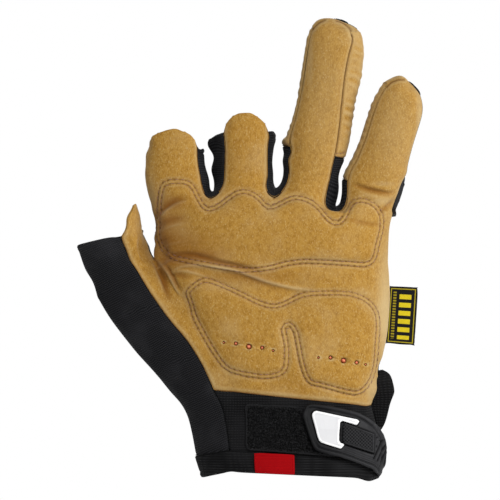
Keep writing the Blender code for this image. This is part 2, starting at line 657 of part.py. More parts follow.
class Cloth:
    """The settled skin: points, normals and faces with their panels, read by everything built on it."""

    def __init__(self, skin):
        mesh = skin.mesh
        mesh.verts.index_update()
        loose = sorted(v.index for v in skin.loose)
        self.points = np.array([v.co[:] for v in mesh.verts])
        self.faces = [[v.index for v in face.verts] for face in mesh.faces]
        self.panels = [face[skin.panel] for face in mesh.faces]
        self.beside = [[edge.other_vert(v).index for edge in v.link_edges] for v in mesh.verts]
        self.rims = {v.index for v in mesh.verts if v.is_boundary}
        self.settle(loose)
        self.shape()
        self.measure()

    def settle(self, loose):
        """Rounds off the webs and roots by drawing each loose point towards its neighbours."""
        for _ in range(WEB_ROUNDING):
            means = {i: self.points[self.beside[i]].mean(axis=0) for i in loose if i not in self.rims}
            for i, mean in means.items():
                self.points[i] += (mean - self.points[i]) * 0.5

    def shape(self):
        """Raises the pads and sinks the folds of the palm side."""
        for i, point in enumerate(self.points):
            if point[1] > 0:
                continue
            for dent in DENTS:
                x, _, z = point - place(dent.across, dent.level)
                turn = math.radians(dent.turn)
                u = (x * math.cos(turn) + z * math.sin(turn)) / (dent.wide * PALM_WIDTH)
                v = (z * math.cos(turn) - x * math.sin(turn)) / (dent.tall * PALM_LENGTH)
                point[1] -= dent.rise * PALM_DEPTH * math.exp(-(u * u) ** dent.edge - (v * v) ** dent.edge)

    def measure(self):
        self.normals = np.zeros_like(self.points)
        for face in self.faces:
            corners = self.points[face]
            for k, i in enumerate(face):
                one = corners[(k + 1) % len(face)] - corners[k]
                two = corners[k - 1] - corners[k]
                one, two = one / np.linalg.norm(one), two / np.linalg.norm(two)
                across = np.cross(one, two)
                angle = math.acos(max(-1.0, min(1.0, float(one @ two))))
                self.normals[i] += across / max(np.linalg.norm(across), 1e-9) * angle
        self.normals /= np.maximum(np.linalg.norm(self.normals, axis=1), 1e-9)[:, None]

    def borders(self, number):
        """The border edges of a panel: (start, end, face, whether another panel lies past it)."""
        users = {}
        for face, panel in zip(self.faces, self.panels):
            for a, b in zip(face, face[1:] + face[:1]):
                users.setdefault(frozenset((a, b)), []).append((a, b, face, panel))
        found = []
        for sharing in users.values():
            inside = [user for user in sharing if user[3] == number]
            if len(inside) == 1:
                found.append((*inside[0][:3], len(sharing) > 1))
        return found

    def panel(self, name, wall, lift=0.0):
        """A panel as a closed wall, its outside on the skin, drawn back from its seams by half a gap."""
        number = PANEL[name]
        faces = [face for face, panel in zip(self.faces, self.panels) if panel == number]
        borders = self.borders(number)
        pulls = {}
        for a, b, face, seam in borders:
            along = self.points[b] - self.points[a]
            normal = self.normals[a] + self.normals[b]
            inward = np.cross(normal, along)
            pull = (inward / np.linalg.norm(inward), SEAM_GAP / 2 if seam else 0.0)
            pulls.setdefault(a, []).append(pull)
            pulls.setdefault(b, []).append(pull)
        used = sorted({i for face in faces for i in face})
        numbers = {i: k for k, i in enumerate(used)}
        outer, inner = [], []
        for i in used:
            point = self.points[i].copy()
            if i in pulls:
                ways = np.array([way for way, _ in pulls[i]])
                gaps = np.array([gap for _, gap in pulls[i]])
                shift = np.linalg.lstsq(ways, gaps, rcond=0.3)[0]
                point += shift * min(1.0, SEAM_GAP / max(np.linalg.norm(shift), 1e-9))
            outer.append(point + self.normals[i] * lift)
            inner.append(point + self.normals[i] * (lift - wall))
        count = len(used)
        solid = [[numbers[i] for i in face] for face in faces]
        solid += [[numbers[i] + count for i in reversed(face)] for face in faces]
        for a, b, _, _ in borders:
            solid.append([numbers[b], numbers[a], numbers[a] + count, numbers[b] + count])
        return outer + inner, solid


class Sheet:
    """Rows of the cloth's points, read at any column and row between them."""

    def __init__(self, cloth, rows, closed):
        self.points = np.array([[cloth.points[v.index] for v in row] for row in rows])
        self.normals = np.array([[cloth.normals[v.index] for v in row] for row in rows])
        self.closed = closed

    def at(self, column, row):
        rows, columns = self.points.shape[:2]
        low = min(max(int(math.floor(row)), 0), rows - 2)
        last = columns if self.closed else columns - 1
        left = int(math.floor(column)) if self.closed else min(max(int(math.floor(column)), 0), last - 1)
        u, v = column - left, row - low
        found = []
        for grid in (self.points, self.normals):
            a, b = grid[low][left % columns], grid[low][(left + 1) % columns]
            c, d = grid[low + 1][(left + 1) % columns], grid[low + 1][left % columns]
            found.append((a * (1 - u) + b * u) * (1 - v) + (d * (1 - u) + c * u) * v)
        return found[0], found[1] / np.linalg.norm(found[1])


def soften(corners, cut, steps):
    """The outline through corners with each corner rounded off, its round starting a cut away."""
    found = []
    for i, corner in enumerate(corners):
        corner = np.array(corner)
        before, after = np.array(corners[i - 1]), np.array(corners[(i + 1) % len(corners)])
        start = corner + (before - corner) * min(cut / np.linalg.norm(before - corner), 0.45)
        end = corner + (after - corner) * min(cut / np.linalg.norm(after - corner), 0.45)
        for step in range(steps + 1):
            t = step / steps
            found.append(start * (1 - t) ** 2 + corner * 2 * t * (1 - t) + end * t * t)
    return found


def make(name, points, faces, finish, smooth_angle=50.0):
    """The object of a closed mesh, with a material of its own."""
    colour, roughness, metallic = finish
    material = bpy.data.materials.new(name)
    material.use_nodes = True
    shader = material.node_tree.nodes["Principled BSDF"]
    shader.inputs["Base Color"].default_value = (*colour, 1.0)
    shader.inputs["Roughness"].default_value = roughness
    shader.inputs["Metallic"].default_value = metallic
    mesh = bpy.data.meshes.new(name)
    mesh.from_pydata([tuple(point) for point in points], [], faces)
    mesh.shade_smooth()
    mesh.set_sharp_from_angle(angle=math.radians(smooth_angle))
    mesh.materials.append(material)
    obj = bpy.data.objects.new(name, mesh)
    bpy.context.scene.collection.objects.link(obj)
    return obj


def lay(name, sheet, outline, lift, thickness, finish):
    """A sheet of even thickness that lies on the skin within an outline, cut along the skin's lines."""
    flat = bmesh.new()
    flat.faces.new([flat.verts.new((column, row, 0.0)) for column, row in outline])
    for axis in (0, 1):
        values = [point[axis] for point in outline]
        for line in range(math.floor(min(values)) + 1, math.ceil(max(values))):
            place_on = [0.0, 0.0, 0.0]
            place_on[axis] = float(line)
            way = (1.0, 0.0, 0.0) if axis == 0 else (0.0, 1.0, 0.0)
            parts = flat.verts[:] + flat.edges[:] + flat.faces[:]
            bmesh.ops.bisect_plane(flat, geom=parts, dist=1e-5, plane_co=place_on, plane_no=way)
    bmesh.ops.triangulate(flat, faces=flat.faces[:], ngon_method="EAR_CLIP")
    flat.verts.index_update()
    spots = [sheet.at(v.co.x, v.co.y) for v in flat.verts]
    outer = [point + normal * (lift + thickness) for point, normal in spots]
    inner = [point + normal * lift for point, normal in spots]
    count = len(spots)
    faces = [[v.index for v in face.verts] for face in flat.faces]
    corners = [outer[i] for i in faces[0]]
    facing = np.cross(corners[1] - corners[0], corners[2] - corners[0]) @ spots[faces[0][0]][1]
    if facing < 0:
        faces = [face[::-1] for face in faces]
    edges = {(a, b) for face in faces for a, b in zip(face, face[1:] + face[:1])}
    solid = faces + [[i + count for i in reversed(face)] for face in faces]
    solid += [[b, a, a + count, b + count] for a, b in sorted(edges) if (b, a) not in edges]
    flat.free()
    return make(name, outer + inner, solid, finish)


def stand(name, sheet, rows, reach, thickness, finish, across=2):
    """A flat piece that stands out sideways from the edge of the hand, as far as its rows say."""
    points, faces = [], []
    for row, out in rows:
        base, normal = sheet.at(EDGE_COLUMN, row)
        base = base + normal * LAY_GAP
        for side in (-0.5, 0.5):
            for step in range(across + 1):
                shift = np.array((reach * out * step / across, side * thickness, 0.0))
                points.append(base + shift)
    width = across + 1
    for i in range(len(rows) - 1):
        low, high = 2 * width * i, 2 * width * (i + 1)
        for k in range(across):
            faces.append([low + k, low + k + 1, high + k + 1, high + k])
            faces.append([low + width + k + 1, low + width + k, high + width + k, high + width + k + 1])
        faces.append([low + width, low, high, high + width])
        faces.append([low + width - 1, low + 2 * width - 1, high + 2 * width - 1, high + width - 1])
    last = 2 * width * (len(rows) - 1)
    for k in range(across):
        faces.append([k + 1, k, width + k, width + k + 1])
        faces.append([last + k, last + k + 1, last + width + k + 1, last + width + k])
    return make(name, points, faces, finish, 30.0)


def build_panels(cloth):
    found = {}
    for name in PANELS[1:]:
        wall, lift, look = FABRIC_WALL, 0.0, BLACK_FABRIC
        if name in LEATHER_PANELS:
            wall, look = LEATHER_WALL, TAN_LEATHER
        if name == "cuff_hem":
            wall, lift = HEM_WALL, HEM_LIFT
        points, faces = cloth.panel(name, wall, lift)
        found[name] = make(name, points, faces, look)
    return found


def perforate(leather, body):
    """Cuts the two rows of perforations through the heel of the leather."""
    drills = bmesh.new()
    for hole in HOLES:
        centre, normal = body.at(hole.column, hole.row)
        aim = Vector(normal).to_track_quat("Z", "Y").to_matrix().to_4x4()
        bmesh.ops.create_cone(
            drills,
            cap_ends=True,
            segments=HOLE_SIDES,
            radius1=HOLE_RADIUS * hole.wide,
            radius2=HOLE_RADIUS * hole.wide,
            depth=LEATHER_WALL * 4,
            matrix=Matrix.Translation(Vector(centre)) @ aim,
        )
    mesh = bpy.data.meshes.new("perforation_drills")
    drills.to_mesh(mesh)
    drills.free()
    cutter = bpy.data.objects.new("perforation_drills", mesh)
    cutter.hide_render = True
    cutter.display_type = "WIRE"
    bpy.context.scene.collection.objects.link(cutter)
    cut = leather.modifiers.new("perforations", "BOOLEAN")
    cut.operation = "DIFFERENCE"
    cut.solver = "EXACT"
    cut.object = cutter


def build_laid(cloth, rings):
    """What is sewn, moulded or tucked on the skin."""
    body = Sheet(cloth, rings["body"], True)
    first, last = ACROSS_FINGER, 2 * ACROSS_FINGER + ROUND_SIDE + 1
    shift = ACROSS_FINGER * (FINGER_COUNT - 1)
    edge_rows = [ring[first + shift : last + shift] for ring in rings["palm"][GUARD_FIRST_ROW:]]
    edge = Sheet(cloth, edge_rows + [ring[first:last] for ring in rings["little"][1:]], False)
    backs = {}
    for name in ("ring", "little"):
        start = ACROSS_FINGER + ROUND_SIDE
        rows = [ring[start : start + ACROSS_FINGER + 1] for ring in rings[name]]
        backs[name] = Sheet(cloth, rows + rings[name + "_tip"], False)
    under_leather = -(LEATHER_WALL + LAY_GAP + FOAM_THICKNESS)
    for name, outline in (("heel_foam_inner", HEEL_FOAM_INNER), ("heel_foam_outer", HEEL_FOAM_OUTER)):
        lay(name, body, soften(outline, 0.5, 1), under_leather, FOAM_THICKNESS, ORANGE_FOAM)
    lay("loop_patch", body, soften(PATCH, 0.5, 2), LAY_GAP, PATCH_THICKNESS, BLACK_FABRIC)
    on_hem = HEM_LIFT + LAY_GAP
    lay("pull_loop", body, PULL_LOOP, on_hem, PULL_LOOP_THICKNESS, RED_WEBBING)
    lay("closure_strap", body, soften(STRAP, 0.5, 2), on_hem, STRAP_THICKNESS, BLACK_FABRIC)
    on_patch = LAY_GAP + PATCH_THICKNESS + LAY_GAP
    lay("closure_tab", body, soften(CLOSURE_TAB, 0.5, 2), on_patch, TAB_THICKNESS, BLACK_RUBBER)
    on_tab = on_patch + TAB_THICKNESS + LAY_GAP
    lay("tab_insert", body, soften(TAB_INSERT, 0.2, 1), on_tab, INSERT_THICKNESS, WHITE_VINYL)
    lay("tab_badge", body, soften(TAB_BADGE, 0.2, 1), on_tab, BADGE_THICKNESS, BLACK_RUBBER)
    guard = soften(LITTLE_GUARD, 0.4, 1)
    lay("little_guard", edge, guard, LAY_GAP, GUARD_THICKNESS, BLACK_RUBBER)
    for name, outline in (("ring", RING_TIP_GUARD), ("little", LITTLE_TIP_GUARD)):
        guard = soften(outline, 0.4, 1)
        lay(name + "_tip_guard", backs[name], guard, LAY_GAP, TIP_GUARD_THICKNESS, BLACK_RUBBER)
    stand("side_label", body, LABEL_ROWS, LABEL_REACH, LABEL_THICKNESS, BLACK_FABRIC)
    stand("cuff_flap", body, FLAP_ROWS, FLAP_REACH, FLAP_THICKNESS, BLACK_FABRIC)
    return body


def main():
    remove_all()
    skin, rings = build_skin()
    cloth = Cloth(skin)
    panels = build_panels(cloth)
    body = build_laid(cloth, rings)
    perforate(panels["palm_leather"], body)
    skin.mesh.free()


if __name__ == "__main__":
    main()
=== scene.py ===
"""The looks of a left-hand leather work glove: suede palm, knit back, wrist tab, padding and stitching.

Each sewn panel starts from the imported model's own wall. It is made fine, closed up along its seams, and
then shaped by pads, folds and stitch lines. Metres, +Z towards the fingertips, palm towards -Y.
"""

import math
from collections import namedtuple
from functools import cache

import bmesh
import bpy
import numpy as np
from bpy.props import FloatProperty, FloatVectorProperty, IntProperty, PointerProperty
from mathutils import Matrix, Vector, noise
from mathutils.bvhtree import BVHTree
from mathutils.kdtree import KDTree


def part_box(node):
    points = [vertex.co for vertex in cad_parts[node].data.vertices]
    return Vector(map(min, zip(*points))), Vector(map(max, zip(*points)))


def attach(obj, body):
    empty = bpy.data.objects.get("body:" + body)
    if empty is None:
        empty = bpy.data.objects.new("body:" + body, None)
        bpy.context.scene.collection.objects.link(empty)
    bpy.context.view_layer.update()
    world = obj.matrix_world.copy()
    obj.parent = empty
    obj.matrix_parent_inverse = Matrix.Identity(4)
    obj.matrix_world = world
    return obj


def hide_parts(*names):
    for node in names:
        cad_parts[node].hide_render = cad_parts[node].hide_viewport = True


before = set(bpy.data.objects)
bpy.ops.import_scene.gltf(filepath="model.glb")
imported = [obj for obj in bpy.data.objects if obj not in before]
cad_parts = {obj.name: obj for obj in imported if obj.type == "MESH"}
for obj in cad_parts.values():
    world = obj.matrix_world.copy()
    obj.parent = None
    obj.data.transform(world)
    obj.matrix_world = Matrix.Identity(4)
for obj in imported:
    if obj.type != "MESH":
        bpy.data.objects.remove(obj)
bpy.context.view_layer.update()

bl_info = {
    "name": "Leather Work Glove",
    "version": (1, 0, 0),
    "blender": (4, 5, 0),
    "location": "3D Viewport > Sidebar > Glove",
    "description": "Finishes a left-hand work glove of suede, knit and moulded rubber",
    "category": "Add Mesh",
}

MM = 0.001
BODY = "root"

# The photograph's frame: metres across a pixel at the glove, the pixel where X and Z are 0, the side of the
# frame in pixels, and how far off the camera stands
PIXEL = 0.000455
PIXEL_ACROSS = 292.0
PIXEL_DOWN = 480.0
PHOTO_SIDE = 500
CAMERA_DISTANCE = 4.0

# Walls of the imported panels, how many times each is subdivided, and the way its cloth's grain runs
UPRIGHT = (0.0, 0.0, 1.0)
Wall = namedtuple("Wall", "thickness levels grain", defaults=(UPRIGHT,))
LEATHER_WALL = 0.0016
FABRIC_WALL = 0.0012
SEWN = {
    "palm_leather": Wall(LEATHER_WALL, 3),
    "ring_sidewall_inner": Wall(LEATHER_WALL, 3),
    "ring_sidewall_outer": Wall(LEATHER_WALL, 3),
    "little_sidewall": Wall(LEATHER_WALL, 3),
    "back_fabric": Wall(FABRIC_WALL, 2),
    "thumb_fabric": Wall(FABRIC_WALL, 3, (-0.43, 0.0, 0.90)),
    "gusset_index_middle": Wall(FABRIC_WALL, 3),
    "gusset_middle_ring": Wall(FABRIC_WALL, 3),
    "gusset_ring_little": Wall(FABRIC_WALL, 3),
    "cuff_front": Wall(FABRIC_WALL, 3),
    "cuff_hem": Wall(0.0024, 3),
}
LAID = {
    "closure_strap": Wall(0.0014, 2),
    "cuff_flap": Wall(0.0022, 3),
    "loop_patch": Wall(0.0009, 2),
    "pull_loop": Wall(0.0008, 4),
    "side_label": Wall(0.0008, 4),
    "little_guard": Wall(0.0026, 2),
    "ring_tip_guard": Wall(0.0017, 2),
    "little_tip_guard": Wall(0.0017, 2),
    "heel_foam_inner": Wall(0.0020, 2),
    "heel_foam_outer": Wall(0.0020, 2),
}
LEATHERS = ("palm_leather", "ring_sidewall_inner", "ring_sidewall_outer", "little_sidewall")
KNITS = ("back_fabric", "thumb_fabric", "gusset_index_middle", "gusset_middle_ring", "gusset_ring_little")

# Working limits of the mesh
SAME_PLACE = 1e-6
WALL_TOLERANCE = 0.004
CORNER_TURNS = (math.radians(35), math.radians(105))
HOLE_GROUP_SPAN = 0.0045
FOLD_ANGLE = math.radians(55)
QUAD_ANGLE = math.radians(80)
RIM_CREASE = 0.5
SEAM_NEAR = 0.0020
RIM_FAR = 12 * MM
LINE_STEP = 0.8 * MM
HOLD_ROUNDS = 2
IN_FRONT = -60 * MM

# Unrolling a cloth: the weight that holds each vertex, and the least weight of an edge that counts
HOLDING_WEIGHT = 1e-6
LEAST_WEIGHT = 1e-4

# A vertex's share of the outer sheet is 1 on that sheet, 0 on the inner one, and between them on the rim
ON_OUTER = 0.999
ON_INNER = 0.001

# Stitched outlines on the palm, in pixels of the photograph, clockwise from the left
KNUCKLE_PAD = (
    (160.4, 248), (156.4, 238), (155.8, 231), (156.4, 222), (156.8, 210), (158.4, 194), (161.5, 184.5),
    (168, 180.6), (180.8, 179.8), (190, 182.2), (196, 188.8), (200, 197), (206.3, 206.5), (215, 205.5),
    (229.8, 194.9), (237, 190.8), (247, 190), (258, 195), (266.5, 204), (272, 205.2), (288.4, 197.2),
    (297, 195.8), (308, 198.5), (318, 204.9), (328.2, 217), (334.5, 221.2), (340.4, 219.2), (345.5, 210),
    (350.5, 201.5), (359.8, 198.3), (371, 201), (379, 207.5), (383.3, 217), (383.1, 230), (379.5, 243.5),
    (377, 255), (373, 263), (364, 266.6), (351.6, 265.8), (318, 263.8), (300.6, 263.6), (284, 266),
    (270, 269.7), (250, 272), (228, 270), (205, 266), (185, 262), (170, 257.5),
)
HEEL_PAD = (
    (203, 278.1), (218.7, 281.6), (242, 291.8), (256, 298.8), (268, 303.2), (279.9, 302.6),
    (300.6, 293.2), (316, 291.2), (341.4, 291), (358, 294), (371, 301.5), (378.2, 312.2), (379.7, 325),
    (378.5, 345), (375.6, 371), (368, 386.8), (358, 394.2), (345, 393), (322, 386.8), (309.5, 383.3),
    (303.5, 375), (299.2, 361), (296, 344), (293.4, 332), (288.5, 325.6), (284.8, 329), (286.6, 337),
    (288.4, 350), (287.6, 364), (284, 372.3), (274.8, 376.8), (260.5, 377.8), (236, 373.5), (224.5, 368),
    (214, 355), (200.3, 331.6), (193.2, 317.3), (189, 303), (185.7, 293.2), (190, 286.6),
)
ROW_SPACING = 1.8 * MM

# The pads: where the rise of their shoulders starts and ends, and the valley around them by depth and half
# width
PAD_SHOULDER = (-0.6 * MM, 5.5 * MM)
PAD_FOOT = (0.30 * MM, 1.5 * MM)

# The leather beside a stitched row is split finer as far as this
STITCHING_NEAR = 0.95 * MM

# Half widths of a seam's line of painted shade, of a stitched row's groove, and of a needle hole across and
# along its row, how much deeper a hole is, and how strong the painted shade in it is
SEAM_LINE = 0.36 * MM
ROW_HALF = 0.50 * MM
NEEDLE_HOLE = (0.36 * MM, 0.52 * MM)
HOLE_DEEPER = 0.6
HOLE_DARK = 0.95

# Streaks along a line: strength, half width, and distance from the line where there is one. The dark
# streaks are painted shade in grooves and seam lines.
ROW_DARK = (0.10, 0.40 * MM)
ROW_WORN = (0.30, 0.5 * MM, 0.95 * MM)
SEAM_WORN = (0.40, 0.9 * MM, 1.2 * MM)
TIP_SEAM_CUT = (0.35 * MM, 0.40 * MM)
TIP_SEAM_DARK = (0.85, 0.30 * MM)
TIP_SEAM_WORN = (0.5, 0.6 * MM, 1.1 * MM)
CROSS_ROW_CUT = (0.30 * MM, 0.45 * MM)
CROSS_ROW_DARK = (0.35, SEAM_LINE)
LOOP_SEAM_CUT = (0.25 * MM, 0.32 * MM)
HOLE_WORN = (0.8, 0.26 * MM, 0.30 * MM)

# The stitch line behind a hem: its depth as a share of the hem's height, its distance as a share of the
# hem's width, and its half width
HEM_STITCH = (0.6, 1.12, 0.4 * MM)

# The slow rise and fall of worn cloth: where it starts beside a rim, and its second wave by share and size
SWELL_STARTS = (0.5 * MM, 4 * MM)
SECOND_WAVE = (0.5, 0.45)

# Folds in the palm: pixels along the valley, then its depth and half width in millimetres, the height and
# the side of the ridge beside it, and the strength of the painted shade in it. A fold of negative depth is
# a ridge.
Fold = namedtuple("Fold", "line depth width ridge side shade", defaults=(0.0, 1, 0.0))
FOLDS = (
    Fold(
        ((165, 262), (169, 258), (175.2, 255.4), (182.8, 254.8), (192, 255), (199.7, 256.6),
         (207.3, 258.5), (215, 260.8), (224.2, 263.1), (234.1, 264.8), (246, 267.5), (260, 270)),
        depth=1.60, width=1.10, ridge=0.25, side=-1, shade=1.0,
    ),
    Fold(
        ((169, 275), (173.7, 271.1), (179.8, 267.3), (187.4, 265.4), (198.1, 265), (208.9, 265.7),
         (218, 266.9), (225.7, 268), (237.9, 270.8), (250.9, 275.5), (266, 281), (285, 286),
         (305.8, 289.4), (326, 291)),
        depth=-1.10, width=0.95,
    ),
    Fold(
        ((222, 272), (240, 275), (254, 279.5), (268, 285), (290, 290)),
        depth=0.45, width=1.3, shade=0.40,
    ),
    Fold(
        ((169.8, 273.8), (175.2, 271.5), (182.8, 270.7), (192, 272.2), (201.2, 274.9), (212, 279)),
        depth=-0.60, width=0.75,
    ),
    Fold(
        ((170, 275.6), (178.3, 275), (184.4, 275.9), (191, 278)),
        depth=0.60, width=0.75, shade=0.75,
    ),
    Fold(
        ((154.5, 260), (157.2, 267.5), (160.8, 274.4), (164.3, 281.8), (166.8, 287.9), (168.7, 293.3),
         (171, 301)),
        depth=1.40, width=1.00, shade=1.0,
    ),
    Fold(
        ((156.5, 259.5), (162, 264.6), (166, 269), (169.5, 274), (171.8, 278.8), (174.4, 284.1),
         (177.5, 290.2), (182, 296)),
        depth=-1.00, width=0.70,
    ),
    Fold(
        ((162.5, 262.3), (166.7, 267), (170.2, 271.8), (173.3, 277.5), (176.2, 283.5), (180, 290)),
        depth=1.05, width=0.65, shade=1.0,
    ),
    Fold(
        ((153, 262), (155.6, 270), (158.2, 277), (161.2, 284.6), (165, 294)),
        depth=-0.60, width=0.75,
    ),
    Fold(
        ((156.5, 220), (160.9, 212.6), (166, 208), (172.1, 203.4), (178.3, 200.2), (187, 198.4)),
        depth=0.85, width=1.20, shade=0.95,
    ),
    Fold(
        ((156.8, 224.5), (159.6, 218.8), (165.2, 213.5), (170.8, 208.6), (179, 204), (188, 201)),
        depth=-0.75, width=0.75,
    ),
    Fold(
        ((158, 231), (161.5, 226.6), (166.2, 222.4), (174.4, 219.4), (186.9, 218.3)),
        depth=0.55, width=1.15, shade=0.70,
    ),
    Fold(
        ((160, 233), (168.5, 228), (176.7, 225.2), (186, 223.4)),
        depth=-0.40, width=0.75,
    ),
    Fold(
        ((158, 252), (167, 246.6), (176.7, 243), (187, 241)),
        depth=-0.30, width=0.70,
    ),
    Fold(
        ((156, 246), (164, 240.5), (174, 237.5)),
        depth=0.30, width=0.90, shade=0.45,
    ),
    Fold(
        ((352, 184), (359, 186.6), (368, 189.4), (377, 191.4), (386, 193.2), (395, 192.5)),
        depth=1.15, width=0.9, ridge=0.55, shade=0.9,
    ),
    Fold(
        ((356, 191), (368, 195.4), (380, 197.5), (391, 196.5)),
        depth=-0.45, width=1.5,
    ),
    Fold(
        ((394, 199), (389, 204.5), (383, 209.5), (377, 212)),
        depth=0.80, width=0.8, ridge=0.45, shade=0.6,
    ),
    Fold(
        ((345, 217.5), (354, 221), (366, 223.6), (380, 224.8)),
        depth=0.60, width=0.8, ridge=0.35, side=-1, shade=0.55,
    ),
)

# How a fold tapers, the ridge beside it by distance and half width, and its painted shade and the painted
# highlight on a ridge's top by strength and half width. Distances and widths are shares of the fold's own
# half width.
FOLD_TAPER = 0.6
RIDGE_BESIDE = (1.7, 1.1)
FOLD_SHADE = (0.85, 1.25)
RIDGE_HIGHLIGHT = (0.95, 0.8)

# Patches of painted shade, and of painted highlight where it is below 0, in places also the nap's own tone:
# pixel, its two radii in pixels, and how much
SHADE_AND_HIGHLIGHT_PATCHES = (
    ((164, 236), (20, 30), 0.50), ((196, 245), (30, 14), 0.25), ((250, 276), (55, 7), 0.32),
    ((296, 384), (20, 9), 0.12), ((205, 192), (14, 20), 0.15), ((180, 244), (26, 12), 0.30),
    ((200, 255), (24, 5), 0.60), ((172, 203), (14, 7), 0.45), ((171, 220), (13, 5), 0.30),
    ((163, 272), (5, 12), 0.35), ((386, 312), (9, 60), -1.00), ((371, 388), (8, 14), -0.70),
    ((325, 100), (24, 75), -0.25), ((395, 135), (26, 50), -0.31), ((225, 286), (26, 6), -0.35),
    ((382, 201), (12, 5), -0.70), ((385, 184), (14, 3), -0.45), ((419, 120), (4, 40), -0.60),
    ((152, 205), (4, 30), -0.45), ((352, 90), (7, 70), -0.35), ((310, 60), (4, 40), -0.45),
    ((325, 193), (3, 12), -0.30), ((360, 293), (25, 5), -0.30), ((186, 262), (18, 8), 0.45),
    ((246, 155), (20, 40), 0.07), ((187, 255.5), (16, 2.6), 0.60), ((171, 260), (8, 6), 0.55),
    ((165.5, 281), (3, 11), 0.40), ((176, 206), (12, 3), 0.30),
)

# Where the cloth settles when the glove is worn: each row is a place on an edge in pixels, and where that
# place comes to lie. The crotches between the fingers settle apart at the palm side and at the back.
PALM_SETTLES = (
    ((197, 158), (199.2, 157)), ((197.4, 170), (201, 170.5)), ((199.8, 180.4), (203, 180.4)),
    ((204, 190), (205, 191)), ((211, 197.5), (211, 197.7)), ((217, 191), (219.7, 190.5)),
    ((220.2, 179.6), (224, 180)), ((220.5, 165), (225, 166)), ((220.6, 150), (225, 151)),
    ((221.3, 139), (224.6, 139)), ((222.3, 131), (223.7, 132)), ((265.8, 132.6), (268, 133)),
    ((265.1, 155), (267.5, 155)), ((265.8, 176), (267.8, 176)), ((269.3, 190.9), (267.4, 190)),
    ((272, 195), (270.3, 195.4)), ((275.3, 197.2), (275, 196.4)), ((281.2, 193), (281, 193)),
    ((285.4, 181.8), (287.2, 182)), ((288.2, 165.6), (290.2, 166)), ((289, 150), (290.3, 150)),
    ((336.4, 158.5), (334.6, 158.5)), ((334.4, 170.6), (331.3, 170.6)), ((332.5, 182), (328.7, 183)),
    ((330.9, 191), (325.4, 199.5)), ((331.3, 195.5), (326.6, 207)), ((336.3, 199.3), (334.5, 211.2)),
    ((341.5, 194.2), (341.7, 208.5)), ((344.6, 190.4), (344.8, 199.5)), ((348.5, 184), (346, 189)),
    ((351, 178.3), (346.6, 180.8)), ((355.5, 170.6), (351.6, 169.8)), ((359.3, 162.3), (357, 161.3)),
    ((362.5, 152.8), (361, 152)), ((366, 143), (365.4, 143)), ((334, 226), (334, 228)),
    ((318, 214), (318, 214)), ((352, 212), (352, 213)),
)
BACK_SETTLES = (
    ((155.8, 226), (157.6, 226)), ((156.2, 240), (158.2, 240)), ((156.6, 252), (158.4, 252)),
    ((206, 150), (203.7, 151)), ((206.5, 165.6), (204.7, 165.6)), ((207.5, 179.6), (206.4, 181)),
    ((211, 188), (211.6, 193.4)), ((213.2, 185), (213.6, 188)), ((214.2, 176), (213.1, 176)),
    ((213.9, 158.6), (214.8, 159)), ((214.2, 141), (208.6, 142)), ((216, 133), (214.5, 134)),
    ((270.4, 137.5), (275.2, 137.5)), ((270.6, 148), (274, 146.5)), ((270.7, 158.6), (272.5, 159.5)),
    ((271.4, 176), (272.5, 176)), ((273.5, 185.3), (275, 185.5)), ((276, 188), (277.4, 189.3)),
    ((279.1, 183), (282.2, 183.5)), ((281.9, 169), (284.4, 170)), ((284.4, 158.6), (284.6, 158.6)),
    ((286.1, 149.5), (284.6, 149.5)), ((345.9, 159.8), (343.2, 159.8)), ((344, 168), (340.9, 168)),
    ((342.1, 177.6), (338.7, 178)), ((339.5, 186), (338.8, 192.5)), ((337.9, 194.8), (337.3, 205.4)),
    ((340.8, 191), (341.2, 200)), ((344, 183.4), (343.8, 187)), ((347, 177), (343.2, 179.6)),
    ((349.1, 169.3), (346.4, 170)), ((352.3, 162.3), (350.2, 163)), ((355.5, 156), (353.8, 156)),
    ((358, 147.7), (357, 147.7)), ((338, 214), (338, 216)),
)
TIP_SETTLES = (
    ((337, 13.9), (337, 19.6)), ((345.3, 15.1), (345, 22.2)), ((327, 14.6), (327, 18.2)),
    ((351.4, 19.7), (350.3, 25)), ((358, 26.8), (357, 29.4)), ((364.7, 37.6), (362.6, 38.5)),
    ((320.8, 18.2), (319.5, 19.8)), ((365.5, 47.8), (364, 48.5)), ((312.7, 26.3), (312.9, 25.8)),
    ((352, 62), (352, 62)), ((330, 44), (330, 44)), ((415.7, 84.5), (413, 86)),
    ((421.8, 91.6), (418.5, 93)), ((423.7, 101.8), (421.9, 103)), ((406.5, 78.4), (405.8, 80.6)),
    ((397.3, 76.8), (398, 76.8)), ((416, 122), (415.7, 122)),
)
FLAP_SETTLES = (
    ((394.5, 390), (394.5, 390)), ((391.1, 403.8), (391.1, 403.6)), ((389.9, 417.6), (386.5, 417.2)),
    ((397.6, 216), (394.3, 217)), ((397.5, 207), (397.1, 208)),
)
TAB_SETTLES = (
    ((317.6, 454.3), (317.6, 451.2)), ((330, 459), (330, 454.6)), ((346.3, 464.6), (346.3, 459.4)),
    ((362, 469.8), (362, 465.2)), ((378.4, 475.5), (375.8, 474)), ((385.3, 477.3), (380.4, 477.2)),
    ((386.6, 469.5), (384.0, 469.7)), ((387, 460), (386.9, 460)), ((387, 439.4), (385.4, 439.6)),
    ((384.2, 425.6), (378.6, 426.6)), ((369.3, 416.4), (368.2, 418.2)), ((357.8, 410.7), (357.8, 412.6)),
    ((340, 406.5), (340, 408)), ((316.4, 403.8), (316, 402.8)), ((305.5, 413), (304, 413.6)),
    ((306, 406), (306.4, 405.4)), ((310, 437), (309.5, 437.3)), ((362.9, 421), (360.2, 421.3)),
    ((360, 425), (357, 425.2)), ((343.4, 446.3), (344, 444.6)), ((338.3, 449.1), (340.1, 448.3)),
)

# The depths between which the back's rows take over from the palm's
BACK_STARTS = (-6.0 * MM, 5.0 * MM)

# How far one row pulls, in pixels, and how much the rows give way to each other
SETTLE_REACH = 13.0
SETTLE_EASE = 0.03

